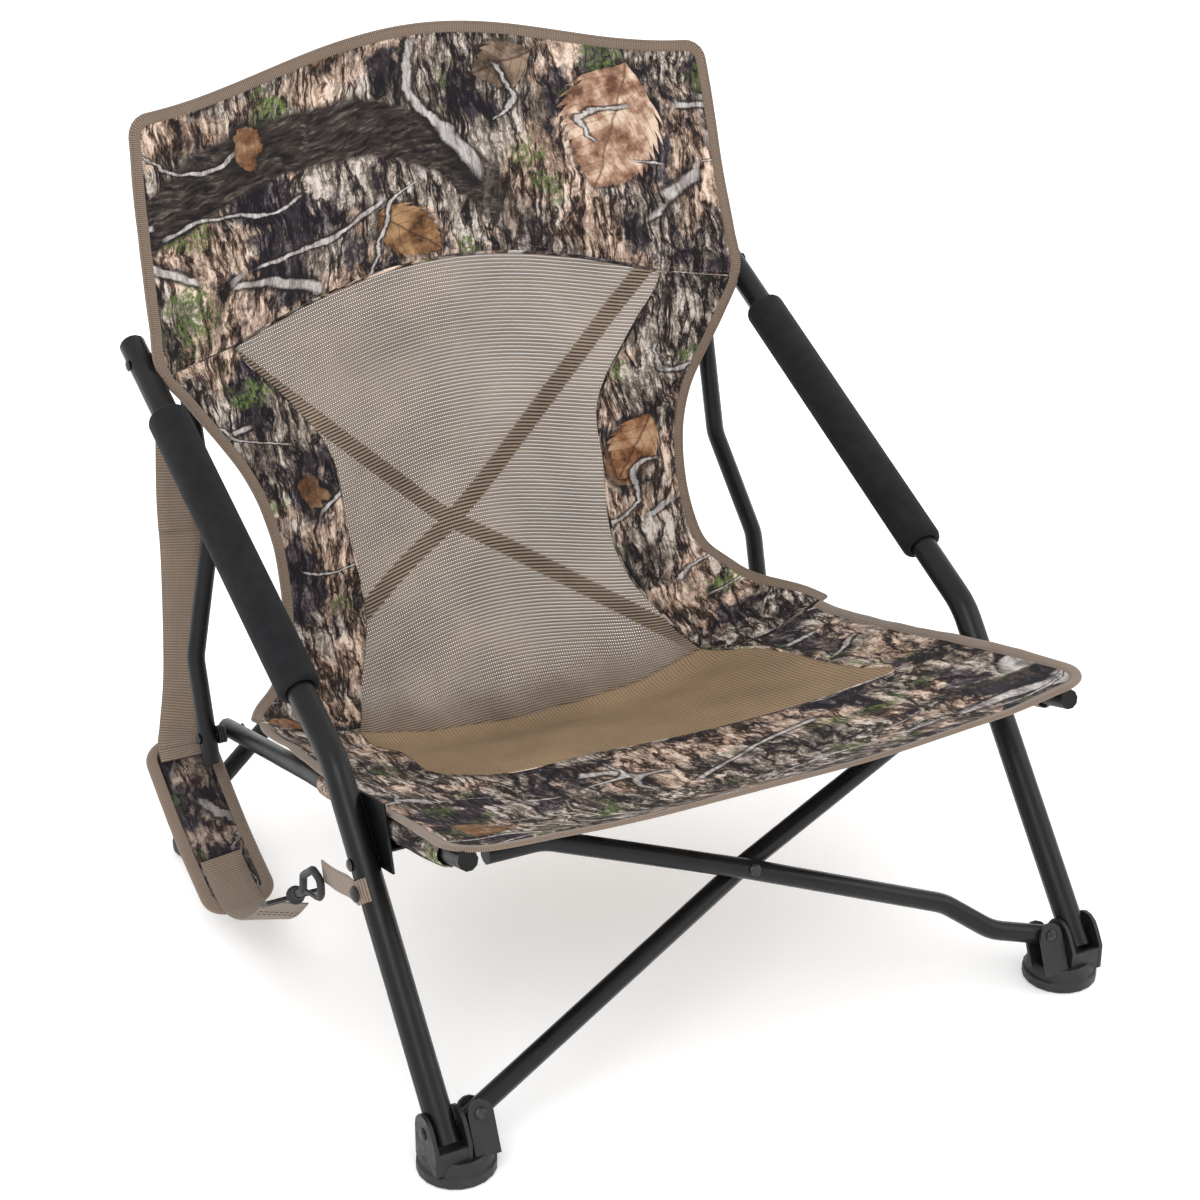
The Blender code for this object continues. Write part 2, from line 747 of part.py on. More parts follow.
def rear_cross():
    pinned = rear_leg("rear_cross_pinned", -1.0, CROSS_SIDE)
    free = rear_leg("rear_cross_free", 1.0, -CROSS_SIDE)
    top = Vector((-REAR_TOP[0], REAR_TOP[1], REAR_TOP[2]))
    through = Vector((0.0, 0.03, 0.0))
    drill(pinned, top - through, top + through, PIN_R + GAP, FRAME_PAINT)
    reach = Vector((0.0, CROSS_SIDE + CROSS_R, 0.0))
    centre = Vector((0.0, REAR_CENTRE_Y, REAR_CENTRE_Z))
    pin("rear_cross_pin", centre + reach, centre - reach)
    right_foot = rear_foot("right", 1.0)
    left_foot = rear_foot("left", -1.0)
    drill(pinned, right_foot - through, right_foot + through, PIN_R + GAP, FRAME_PAINT)
    drill(free, left_foot - through, left_foot + through, PIN_R + GAP, FRAME_PAINT)
    lean_clear = UPRIGHT_R * 1.04 + PIN_HEAD_R * UPRIGHT_LEAN
    front_of_post = upright_y(REAR_TOP[2]) - UPRIGHT_R * 0.9
    post_back = upright_y(REAR_TOP[2]) + lean_clear
    for side, sign, back in (("left", -1.0, REAR_TOP[1] + CROSS_R), ("right", 1.0, post_back)):
        pin(
            "rear_top_pin_" + side,
            (sign * UPRIGHT_X, front_of_post, REAR_TOP[2]),
            (sign * UPRIGHT_X, back, REAR_TOP[2]),
            second_head=False,
        )


# ---------------------------------------------------------------- seat rails
def seat_rail(side, sign):
    corners = [Vector((sign * x, y, z)) for x, y, z in RAIL_PATH]
    rail = tube("seat_rail_" + side, rounded_path(corners, RAIL_BEND_R, 3), RAIL_R, FRAME_PAINT)
    reach = Vector((0.03, 0.0, 0.0))
    centre = side_point(sign * RAIL_PATH[0][0], RAIL_PIVOT)
    drill(rail, centre - reach, centre + reach, PIN_R + GAP, FRAME_PAINT)
    rail_outer = sign * (RAIL_PATH[0][0] + RAIL_R + GAP)
    post_inner = sign * (UPRIGHT_LOW_X - UPRIGHT_R - GAP)
    ribbed_spacer(
        "rail_spacer_" + side,
        side_point(rail_outer, RAIL_PIVOT),
        side_point(post_inner, RAIL_PIVOT),
        0.0080,
        PIN_R + GAP,
        MOULDED_BLACK,
        3,
    )
    pin(
        "rail_pivot_pin_" + side,
        side_point(sign * (RAIL_PATH[0][0] - RAIL_R), RAIL_PIVOT),
        side_point(sign * (UPRIGHT_LOW_X + UPRIGHT_R), RAIL_PIVOT),
    )


# ---------------------------------------------------------------- sling
def sling_sheet(name, rows, thickness, paint):
    """A closed slab over rows of (half width, edge y, edge z, middle y, middle z)."""
    columns = 8
    mesh = bpy.data.meshes.new(name)
    verts = []
    for half, edge_y, edge_z, middle_y, middle_z in rows:
        for column in range(columns + 1):
            across = -1.0 + 2.0 * column / columns
            bow = 1.0 - across * across
            y = edge_y + (middle_y - edge_y) * bow
            z = edge_z + (middle_z - edge_z) * bow
            verts.append((across * half, y, z))
    faces = []
    width = columns + 1
    for row in range(len(rows) - 1):
        for column in range(columns):
            first = row * width + column
            faces.append((first, first + 1, first + width + 1, first + width))
    mesh.from_pydata(verts, [], faces)
    obj = link(bpy.data.objects.new(name, mesh))
    shell = obj.modifiers.new("thickness", "SOLIDIFY")
    shell.thickness = thickness
    shell.offset = 0.0
    shell.use_even_offset = True
    return baked(obj, paint, 40.0)


def sling():
    sling_sheet("back_sling", BACK_ROWS, SLING_T, SLING_MESH)
    sling_sheet("seat_sling", SEAT_ROWS, SLING_T, SLING_MESH)


# ---------------------------------------------------------------- carrying strap
def strip(name, path, width, across, thickness, paint):
    """A flat strip of that width along the path, its width lying across."""
    mesh = bpy.data.meshes.new(name)
    half = Vector(across).normalized() * width / 2.0
    verts = []
    for place in path:
        verts.append(Vector(place) - half)
        verts.append(Vector(place) + half)
    faces = [(2 * i, 2 * i + 1, 2 * i + 3, 2 * i + 2) for i in range(len(path) - 1)]
    mesh.from_pydata(verts, [], faces)
    obj = link(bpy.data.objects.new(name, mesh))
    shell = obj.modifiers.new("thickness", "SOLIDIFY")
    shell.thickness = thickness
    shell.offset = 0.0
    shell.use_even_offset = True
    return baked(obj, paint, 40.0)


def carrying_strap():
    """The strap hangs from a ring behind the upright and clips to a tab on the leg."""
    ring_y = upright_y(RING_Z) + UPRIGHT_R * 1.04 + GAP
    ring = [
        Vector((-UPRIGHT_X - 0.0010, ring_y, RING_Z)),
        Vector((-UPRIGHT_X - 0.0010, ring_y + 0.0150, RING_Z)),
        Vector((-UPRIGHT_X - 0.0140, ring_y + 0.0180, RING_Z - 0.0105)),
        Vector((-UPRIGHT_X - 0.0240, ring_y + 0.0200, RING_Z - 0.0105)),
    ]
    tube("strap_ring", rounded_path(ring, 0.006, 3), 0.0016, RIVET_STEEL, 2)
    across = STRAP_ACROSS
    strip("strap_upper", rounded_path(STRAP_UPPER, 0.12, 4), STRAP_W, across, 0.0016, STRAP_WEB)
    strip("strap_pad", rounded_path(STRAP_PAD, 0.15, 5), PAD_W, across, 0.0080, SLING_PRINT)
    strip("strap_lower", rounded_path(STRAP_LOWER, 0.06, 4), STRAP_W, across, 0.0016, STRAP_WEB)
    reach = (Vector(HOOK_END) - Vector(HOOK_START)).normalized()
    face = Vector((1.0, 0.0, 0.0)).cross(reach)
    slider = plate(
        "strap_slider",
        [(-0.0230, -0.0090), (0.0230, -0.0090), (0.0230, 0.0090), (-0.0230, 0.0090)],
        Vector(HOOK_START) - reach * 0.0100,
        (1, 0, 0),
        reach,
        0.0030,
        chair,
    )
    slot = plate(
        "slider_slot",
        [(-0.0195, -0.0055), (0.0195, -0.0055), (0.0195, 0.0010), (-0.0195, 0.0010)],
        Vector(HOOK_START) - reach * 0.0090,
        (1, 0, 0),
        reach,
        0.0100,
    )
    combine(slider, slot, "DIFFERENCE")
    baked(slider, MOULDED_BLACK, 30.0)
    bpy.data.objects.remove(slot, do_unlink=True)
    swivel_profile = [
        (0.0, 0.0100),
        (0.0040, 0.0100),
        (0.0052, 0.0080),
        (0.0040, 0.0055),
        (0.0075, 0.0030),
        (0.0075, 0.0),
        (0.0, 0.0),
    ]
    swivel = turned("hook_swivel", swivel_profile, HOOK_START, reach, MOULDED_BLACK, 14)
    baked(swivel, MOULDED_BLACK, 40.0)
    start = Vector(HOOK_START) + reach * (0.0100 + GAP)
    hook_path = [
        start,
        start + reach * 0.0130,
        start + reach * 0.0240 - face * 0.0105,
        start + reach * 0.0500 - face * 0.0105,
        start + reach * 0.0610,
        start + reach * 0.0540 + face * 0.0090,
        start + reach * 0.0470 + face * 0.0110,
    ]
    tube("snap_hook", rounded_path(hook_path, 0.006, 3), 0.0033, MOULDED_BLACK, 2)
    gate_path = [
        start + reach * 0.0200 + face * 0.0015,
        start + reach * 0.0415 + face * 0.0105,
    ]
    tube("hook_gate", gate_path, 0.0019, MOULDED_BLACK, 2)
    strap_tab()


def strap_tab():
    """A webbing tab laid round the outside of the leg and held there by a stud."""
    leg = Vector((0.0, ARM_BEND[0] - LEG_END[0], ARM_BEND[1] - LEG_END[1])).normalized()
    middle = side_point(-ARM_X, along(LEG_END, ARM_BEND, TAB_REACH))
    side = Vector((-1.0, 0.0, 0.0))
    behind = Vector((0.0, leg.z, -leg.y))
    radius = ARM_R + 0.0011
    path = []
    for step in range(6):
        angle = math.radians(60.0) * (1.0 - step / 5)
        path.append(middle + (side * math.cos(angle) - behind * math.sin(angle)) * radius)
    path.append(middle + side * radius + behind * TAB_TAIL + leg * TAB_RISE)
    strip("strap_tab", path, 0.0250, leg, 0.0014, STRAP_WEB)
    profile = [
        (0.0, 0.0030),
        (0.0042, 0.0030),
        (0.0062, 0.0018),
        (0.0062, 0.0),
        (0.0, 0.0),
    ]
    turned("tab_stud", profile, middle + side * (radius + 0.0010), side, MOULDED_BLACK, 14)
    baked(bpy.data.objects["tab_stud"], MOULDED_BLACK, 40.0)


if __name__ == "__main__":
    for side_name, side_sign in SIDES:
        arm_and_leg(side_name, side_sign)
        grip(side_name, side_sign)
        arm_cap(side_name, side_sign)
        back_upright(side_name, side_sign)
        arm_pivot(side_name, side_sign)
        rail_saddle(side_name, side_sign)
        front_foot(side_name, side_sign)
        seat_rail(side_name, side_sign)
    front_cross()
    rear_cross()
    sling()
    carrying_strap()
    for piece in chair.objects:
        piece.data.transform(Matrix.Translation(ORIGIN_SHIFT))
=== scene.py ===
"""Looks for the folding field chair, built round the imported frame."""

import math

import bmesh
import bpy
import numpy as np
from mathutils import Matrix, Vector, noise


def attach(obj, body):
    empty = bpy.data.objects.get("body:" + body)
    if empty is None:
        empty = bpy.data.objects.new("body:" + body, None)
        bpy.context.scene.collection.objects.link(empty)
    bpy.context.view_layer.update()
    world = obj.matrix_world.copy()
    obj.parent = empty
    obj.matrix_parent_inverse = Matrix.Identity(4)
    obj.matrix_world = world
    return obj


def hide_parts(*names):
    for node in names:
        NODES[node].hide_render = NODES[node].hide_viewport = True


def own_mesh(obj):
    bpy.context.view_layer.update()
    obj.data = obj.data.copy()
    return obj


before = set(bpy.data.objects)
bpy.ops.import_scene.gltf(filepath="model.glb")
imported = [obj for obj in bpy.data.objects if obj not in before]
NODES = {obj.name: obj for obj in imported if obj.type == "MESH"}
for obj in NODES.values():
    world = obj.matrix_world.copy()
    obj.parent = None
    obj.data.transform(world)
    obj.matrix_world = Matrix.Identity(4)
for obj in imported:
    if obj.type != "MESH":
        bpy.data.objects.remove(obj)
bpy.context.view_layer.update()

MIDDLE = Vector((0.0113, 0.0056, 0.0))
UPRIGHT_X = 0.2450
ARM_PIVOT = (0.2640, 0.4370)
UPRIGHT_LEAN = 0.2550
RAIL_PATH = (
    (0.2500, 0.2010, 0.1195),
    (0.2515, 0.0000, 0.1740),
    (0.2560, -0.2100, 0.2275),
    (0.2560, -0.3020, 0.2570),
)
STRAP_ACROSS = Vector((0.905, -0.425, 0.0)).normalized()
STRAP_UPPER = (
    (-0.2500, 0.2790, 0.3700),
    (-0.2570, 0.2690, 0.3100),
    (-0.2610, 0.2590, 0.2500),
    (-0.2700, 0.2460, 0.1600),
    (-0.2825, 0.2290, 0.1170),
    (-0.2895, 0.2160, 0.1080),
    (-0.2925, 0.2010, 0.1000),
)
STRAP_PAD = ((-0.2882, 0.2290, 0.1060), (-0.2920, 0.1380, 0.0600), (-0.2948, 0.0560, 0.0300))
STRAP_LOWER = (
    (-0.2965, 0.1050, 0.0540),
    (-0.2972, 0.0750, 0.0425),
    (-0.2980, 0.0400, 0.0380),
    (-0.2985, 0.0050, 0.0500),
    (-0.2990, -0.0250, 0.0700),
    (-0.3000, -0.0530, 0.0960),
    (-0.3003, -0.0575, 0.1002),
)
STRAP_W = 0.0350
STRAP_T = 0.0013
TAB_W = 0.0180
TAB_T = 0.0012
PAD_W = 0.0600
PAD_END_R = 0.0230
PAD_PATTERN = (7.31, 6.20)
PAD_VOXEL = 0.0026
PAD_PRESSURE = 4.0
PAD_FILL_STEPS = 20
PAD_FILL_LIMIT = 0.0022
LEG_FOOT = np.array((-0.3076, 0.0277))
LEG_BEND = np.array((-0.1235, 0.2548))
LEG_X = 0.2810
LEG_R = 0.0110
TAB_REACH = 0.1925


def place(x, y, z):
    """A point of the chair, measured from its own middle plane, in the row frame."""
    return Vector((x, y, z)) + MIDDLE


def unit(vectors):
    return vectors / np.linalg.norm(vectors, axis=-1, keepdims=True)


def run_along(points):
    """Distance along a path, at each of its points."""
    return np.concatenate([[0.0], np.cumsum(np.linalg.norm(np.diff(points, axis=0), axis=1))])


def at_run(s, run, rows):
    """Rows of a table, such as a path's points, at places along its run."""
    return np.stack([np.interp(s, run, rows[:, k]) for k in range(3)], axis=-1)


# ---------------------------------------------------------------- node helpers
class Shader:
    """A material's node tree, with short calls for the nodes it is made of."""

    def __init__(self, name):
        self.material = bpy.data.materials.new(name)
        self.material.use_nodes = True
        self.tree = self.material.node_tree
        self.bsdf = self.tree.nodes["Principled BSDF"]

    def node(self, kind, **settings):
        made = self.tree.nodes.new("ShaderNode" + kind)
        for key, value in settings.items():
            setattr(made, key, value)
        return made

    def set(self, socket, value):
        """Feeds a socket: from another node, or with a number or a colour."""
        if hasattr(value, "links"):
            self.tree.links.new(value, socket)
        elif socket.type == "RGBA":
            socket.default_value = (*value, 1.0)
        else:
            socket.default_value = value

    def feed(self, made, **values):
        """Feeds the inputs with those names, an underscore standing for a space."""
        for name, value in values.items():
            self.set(made.inputs[name.replace("_", " ")], value)

    def cloth(self):
        return self.node("Attribute", attribute_name="cloth").outputs["Vector"]

    def object_space(self):
        return self.node("TexCoord").outputs["Object"]

    def scaled(self, vector, scale, offset=(0, 0, 0)):
        made = self.node("Mapping")
        self.feed(made, Vector=vector, Scale=scale, Location=offset)
        return made.outputs["Vector"]

    def noise(self, vector, scale, detail=3.0, rough=0.55, distort=0.0):
        made = self.node("TexNoise")
        self.feed(made, Vector=vector, Scale=scale, Detail=detail, Roughness=rough, Distortion=distort)
        return made.outputs["Fac"]

    def voronoi(self, vector, scale, feature="F1", output="Distance", rand=1.0):
        made = self.node("TexVoronoi", feature=feature)
        self.feed(made, Vector=vector, Scale=scale, Randomness=rand)
        return made.outputs[output]

    def math(self, operation, a, b=0.0):
        made = self.node("Math", operation=operation)
        self.set(made.inputs[0], a)
        self.set(made.inputs[1], b)
        return made.outputs[0]

    def plus(self, a, b):
        return self.math("ADD", a, b)

    def minus(self, a, b):
        return self.math("SUBTRACT", a, b)

    def times(self, a, b):
        return self.math("MULTIPLY", a, b)

    def off_half(self, value):
        """How far a noise is from its middle value: low along the noise's middle lines."""
        return self.math("ABSOLUTE", self.minus(value, 0.5))

    def remap(self, value, low, high, out_low=0.0, out_high=1.0):
        made = self.node("MapRange")
        self.feed(made, Value=value, From_Min=low, From_Max=high, To_Min=out_low, To_Max=out_high)
        return made.outputs["Result"]

    def ramp(self, value, *stops):
        """Colours along a value. Each stop is its place and its colour."""
        made = self.node("ValToRGB")
        self.feed(made, Fac=value)
        band = made.color_ramp
        while len(band.elements) < len(stops):
            band.elements.new(0.5)
        for element, (position, *colour) in zip(band.elements, stops):
            element.position = position
            element.color = (*colour, 1.0)
        return made.outputs["Color"]

    def mix(self, factor, a, b):
        made = self.node("Mix", data_type="RGBA")
        for index, value in ((0, factor), (6, a), (7, b)):
            self.set(made.inputs[index], value)
        return made.outputs[2]

    def shaken(self, vector, amount, scale, detail, rough, over=None):
        """The vector moved about by that amount, by a noise over itself or over another vector."""
        made = self.node("TexNoise")
        self.feed(made, Vector=over or vector, Scale=scale, Detail=detail, Roughness=rough)
        centred = self.node("VectorMath", operation="SUBTRACT")
        self.set(centred.inputs[0], made.outputs["Color"])
        self.set(centred.inputs[1], (0.5, 0.5, 0.5))
        grown = self.node("VectorMath", operation="SCALE")
        self.feed(grown, Vector=centred.outputs[0], Scale=amount)
        added = self.node("VectorMath", operation="ADD")
        self.set(added.inputs[0], vector)
        self.set(added.inputs[1], grown.outputs[0])
        return added.outputs[0]

    def split(self, vector):
        made = self.node("SeparateXYZ")
        self.set(made.inputs[0], vector)
        return made.outputs

    def bump(self, height, distance, strength):
        made = self.node("Bump")
        self.feed(made, Height=height, Distance=distance, Strength=strength)
        self.feed(self.bsdf, Normal=made.outputs["Normal"])

    def finish(self, colour, rough, **others):
        """Gives the surface its colour, roughness and other inputs, and returns the material."""
        self.feed(self.bsdf, Base_Color=colour, Roughness=rough, **others)
        return self.material


def wave(shader, value, pitch):
    """A smooth 0 to 1 wave along the value, one per pitch."""
    turns = shader.math("MULTIPLY", value, 2.0 * math.pi / pitch)
    return shader.remap(shader.math("SINE", turns), -1.0, 1.0)


# ---------------------------------------------------------------- materials
def powder_coat():
    s = Shader("black_powder_coat")
    spot = s.object_space()
    broad = s.noise(spot, 14.0, 4.0, 0.6)
    black = s.ramp(broad, (0.30, 0.0030, 0.0031, 0.0034), (0.75, 0.0075, 0.0078, 0.0085))
    sheen = s.remap(s.noise(spot, 60.0, 4.0, 0.65), 0.3, 0.7, 0.25, 0.40)
    s.bump(s.noise(spot, 900.0, 2.0, 0.5), 0.00025, 0.30)
    return s.finish(black, sheen, Specular_IOR_Level=0.27)


def moulded_plastic():
    s = Shader("moulded_black_plastic")
    spot = s.object_space()
    black = s.ramp(s.noise(spot, 40.0, 4.0), (0.3, 0.0040, 0.0040, 0.0044), (0.8, 0.0110, 0.0110, 0.0118))
    s.bump(s.noise(spot, 1400.0, 2.0), 0.0002, 0.4)
    return s.finish(black, s.remap(s.noise(spot, 120.0, 3.0), 0.3, 0.7, 0.42, 0.62))


def blackened_steel():
    s = Shader("blackened_steel")
    spot = s.object_space()
    worn = s.noise(spot, 260.0, 4.0, 0.7)
    steel = s.ramp(worn, (0.35, 0.020, 0.020, 0.022), (0.75, 0.085, 0.083, 0.080))
    s.bump(s.noise(spot, 800.0, 2.0), 0.0001, 0.4)
    return s.finish(steel, s.remap(worn, 0.3, 0.7, 0.28, 0.45), Metallic=0.75)


def grip_foam():
    s = Shader("grip_foam_cell")
    spot = s.object_space()
    cells = s.voronoi(spot, 1500.0)
    mottled = s.noise(spot, 90.0, 5.0, 0.6)
    black = s.ramp(mottled, (0.30, 0.0075, 0.0075, 0.0088), (0.80, 0.0150, 0.0150, 0.0172))
    s.bump(s.plus(s.times(cells, 0.7), mottled), 0.0005, 0.5)
    return s.finish(black, s.remap(s.noise(spot, 30.0, 3.0), 0.3, 0.7, 0.84, 0.98),
                    Specular_IOR_Level=0.22, Sheen_Weight=0.03)


def ribbed_tape(name, dark, light, pitch=0.0016):
    """Woven tape: ribs across its length, a finer twill, and soiling."""
    s = Shader(name)
    cloth = s.cloth()
    across, along, _ = s.split(cloth)
    weave = s.times(wave(s, along, pitch), s.remap(wave(s, across, pitch * 0.8), 0.0, 1.0, 0.55, 1.0))
    broad = s.noise(cloth, 40.0, 4.0, 0.6)
    tape = s.ramp(s.plus(s.times(weave, 0.75), s.times(broad, 0.3)), (0.10, *dark), (0.95, *light))
    s.bump(weave, 0.0006, 0.7)
    return s.finish(tape, s.remap(broad, 0.3, 0.7, 0.80, 0.92), Sheen_Weight=0.2)


def open_mesh(name, row_axis, see_through, light, dark, weave):
    """Coated open mesh. Heavy yarns run across the rows and leave small holes between them."""
    s = Shader(name)
    cloth = s.cloth()
    across, along, _ = s.split(s.shaken(cloth, 0.0009, 26.0, 2.0, 0.5))
    first, second = (along, across) if row_axis == "along" else (across, along)
    holes = s.times(wave(s, first, 0.0032), s.remap(wave(s, second, 0.0021), 0.0, 1.0, 0.55, 1.0))
    patches = s.noise(cloth, 9.0, 4.0, 0.6)
    fibres = s.noise(cloth, 900.0, 2.0, 0.5)
    shade = s.plus(s.plus(s.times(holes, -weave), s.times(patches, 0.9)), s.times(fibres, 0.25))
    s.bump(s.minus(1.0, holes), 0.0008, 0.8)
    return s.finish(s.ramp(shade, (0.10, *dark), (0.75, *light)), s.remap(patches, 0.3, 0.7, 0.62, 0.80),
                    Alpha=s.remap(holes, 0.50, 0.80, 1.0, see_through), Specular_IOR_Level=0.25)


def bark_picture(s, cloth, bent, grain, coarse):
    """Streaked bark, grey in places and warm in others, with cracks, deep shadow and lichen."""
    plates = s.noise(s.scaled(bent, (1.0, 0.24, 1.0)), 52.0, 7.0, 0.62, 0.4)
    fine = s.noise(s.scaled(bent, (1.0, 0.55, 1.0)), 130.0, 6.0, 0.7)
    tone = s.plus(s.times(grain, 0.66), s.times(coarse, 0.42))
    tone = s.times(tone, s.remap(s.remap(s.off_half(plates), 0.004, 0.050), 0.0, 1.0, 0.74, 1.0))
    tone = s.times(tone, s.remap(s.remap(s.off_half(fine), 0.0, 0.060), 0.0, 1.0, 0.88, 1.0))
    grey = s.ramp(tone, (0.38, 0.008, 0.006, 0.007), (0.45, 0.050, 0.038, 0.034),
                  (0.52, 0.210, 0.170, 0.138), (0.60, 0.700, 0.620, 0.550))
    warm = s.ramp(tone, (0.37, 0.012, 0.008, 0.007), (0.44, 0.105, 0.065, 0.048),
                  (0.51, 0.370, 0.260, 0.195), (0.60, 0.840, 0.660, 0.540))
    shade = s.ramp(tone, (0.42, 0.008, 0.006, 0.010), (0.53, 0.042, 0.032, 0.038),
                   (0.64, 0.250, 0.210, 0.200))
    picture = s.mix(s.remap(s.noise(cloth, 8.0, 4.0, 0.6), 0.50, 0.54), grey, warm)
    dark_areas = s.noise(s.scaled(bent, (1.0, 0.8, 1.0), (4.3, 1.7, 0.0)), 13.0, 6.0, 0.66)
    picture = s.mix(s.remap(dark_areas, 0.520, 0.570), picture, shade)
    lichen_areas = s.noise(s.scaled(cloth, (1.0, 1.0, 1.0), (9.1, 3.3, 0.0)), 15.0, 3.0, 0.6)
    lichen = s.times(s.remap(lichen_areas, 0.585, 0.64), s.remap(s.noise(bent, 260.0, 4.0, 0.7), 0.44, 0.56))
    return s.mix(lichen, picture, s.ramp(grain, (0.38, 0.010, 0.022, 0.006), (0.62, 0.200, 0.270, 0.080)))


def woodland_print(name, painted_shade=0.0):
    """A generic woodland print: bark, a fallen trunk, leaves and twigs, drawn towards black by that much
    painted shade.
    """
    s = Shader(name)
    cloth = s.cloth()
    bent = s.shaken(cloth, 0.055, 5.5, 4.0, 0.6)
    grain = s.noise(s.scaled(bent, (1.0, 0.15, 1.0)), 170.0, 12.0, 0.80, 0.4)
    coarse = s.noise(s.scaled(bent, (1.0, 0.5, 1.0)), 34.0, 6.0, 0.7)
    picture = bark_picture(s, cloth, bent, grain, coarse)
    picture = fallen_trunk(s, bent, picture)
    picture = dead_leaves(s, bent, cloth, grain, picture)
    for leaf in BIG_LEAVES:
        picture = big_leaf(s, cloth, picture, *leaf)
    picture = twigs(s, cloth, grain, picture)
    across, along, _ = s.split(cloth)
    twill = wave(s, s.plus(across, along), 0.0011)
    picture = s.mix(s.times(twill, 0.10), picture, (0.03, 0.027, 0.025))
    # Painted shade: the whole print drawn towards near-black by that amount.
    picture = s.mix(painted_shade, picture, (0.012, 0.009, 0.013))
    folds = s.noise(cloth, 16.0, 3.0, 0.5)
    s.bump(s.plus(s.times(twill, 0.25), folds), 0.0012, 0.45)
    return s.finish(picture, s.remap(coarse, 0.3, 0.7, 0.72, 0.88), Specular_IOR_Level=0.18)


# Each leaf: where on the cloth, how far turned, length and width, and its dark, middle and light colours.
BIG_LEAVES = (
    ((1.072, 0.17), 0.35, 0.062, 0.046, (0.12, 0.055, 0.034), (0.36, 0.205, 0.135), (0.74, 0.56, 0.43)),
    ((0.872, 0.262), -0.95, 0.036, 0.022, (0.04, 0.018, 0.01), (0.20, 0.10, 0.045), (0.40, 0.24, 0.12)),
    ((0.975, 0.125), 1.20, 0.03, 0.02, (0.03, 0.018, 0.014), (0.12, 0.08, 0.055), (0.30, 0.21, 0.15)),
    ((3.255, 3.06), 0.60, 0.034, 0.021, (0.06, 0.022, 0.012), (0.26, 0.12, 0.055), (0.48, 0.30, 0.18)),
    ((5.08, 4.80), 1.30, 0.04, 0.026, (0.06, 0.03, 0.018), (0.24, 0.14, 0.08), (0.46, 0.33, 0.22)),
)
LEAF_SHADOW = (0.012, 0.009, 0.009)
TOOTH = 0.0095


def big_leaf(s, cloth, picture, centre, turn, length, width, dark, middle, light):
    """One toothed leaf with a midrib and slanting veins."""
    turned = s.node("Mapping", vector_type="TEXTURE")
    s.feed(turned, Vector=cloth, Location=(*centre, 0.0), Rotation=(0.0, 0.0, turn))
    local = s.shaken(turned.outputs["Vector"], 0.010, 30.0, 3.0, 0.55, cloth)
    x, y, _ = s.split(local)
    side = s.math("ABSOLUTE", x)
    end = s.math("DIVIDE", y, length)
    slant = s.minus(y, s.times(side, 0.9))
    teeth = s.math("FRACT", s.math("DIVIDE", slant, TOOTH))
    reach = s.times(s.times(s.minus(1.0, s.times(end, end)), width), s.remap(teeth, 0.0, 1.0, 0.88, 1.10))
    margin = s.minus(reach, side)
    leaf = s.ramp(s.noise(local, 36.0, 6.0, 0.62), (0.38, *dark), (0.48, *middle), (0.60, *light))
    vein = s.remap(s.math("PINGPONG", slant, 0.0055), 0.0009, 0.0002)
    leaf = s.mix(s.times(vein, 0.50), leaf, dark)
    leaf = s.mix(s.times(s.remap(side, 0.0016, 0.0006), 0.65), leaf, dark)
    picture = s.mix(s.times(s.remap(margin, -0.0060, 0.0005), 0.80), picture, LEAF_SHADOW)
    return s.mix(s.remap(margin, 0.0, 0.0007), picture, leaf)


def fallen_trunk(s, bent, picture):
    """A dark trunk lying across one corner of the back's top panel."""
    x, y, _ = s.split(bent)
    away = s.minus(x, 0.76)
    middle = s.plus(0.150, s.times(s.times(away, away), 2.2))
    distance = s.math("ABSOLUTE", s.minus(y, middle))
    near = s.times(s.remap(distance, 0.028, 0.023), s.remap(x, 1.00, 0.94))
    streaks = s.noise(s.scaled(bent, (0.22, 1.0, 1.0)), 240.0, 8.0, 0.7, 0.3)
    bark = s.ramp(streaks, (0.40, 0.008, 0.006, 0.007), (0.55, 0.045, 0.034, 0.030),
                  (0.68, 0.170, 0.135, 0.115))
    return s.mix(near, picture, bark)


def dead_leaves(s, bent, cloth, tone, picture):
    """Scattered lobed leaves in rust and straw, each with a dark rim and veins."""
    crinkled = s.shaken(bent, 0.010, 95.0, 2.0, 0.5)
    spread = s.scaled(crinkled, (1.0, 0.72, 1.0))
    distance = s.voronoi(spread, 12.0, "F1", "Distance", 0.9)
    chosen = s.remap(s.split(s.voronoi(spread, 12.0, "F1", "Color", 0.9))[0], 0.78, 0.80)
    veins = s.voronoi(s.scaled(crinkled, (1.0, 0.5, 1.0)), 70.0, "DISTANCE_TO_EDGE")
    leaf = s.ramp(s.noise(cloth, 60.0, 4.0, 0.65), (0.32, 0.085, 0.035, 0.016), (0.50, 0.260, 0.120, 0.055),
                  (0.68, 0.480, 0.340, 0.210))
    leaf = s.mix(s.remap(veins, 0.05, 0.0, 0.0, 0.55), leaf, (0.06, 0.03, 0.018))
    leaf = s.mix(s.remap(tone, 0.35, 0.65, 0.55, 0.0), leaf, (0.02, 0.012, 0.008))
    rim = s.times(s.remap(distance, 0.36, 0.31), chosen)
    picture = s.mix(s.times(rim, 0.80), picture, (0.012, 0.009, 0.008))
    return s.mix(s.times(s.remap(distance, 0.30, 0.29), chosen), picture, leaf)


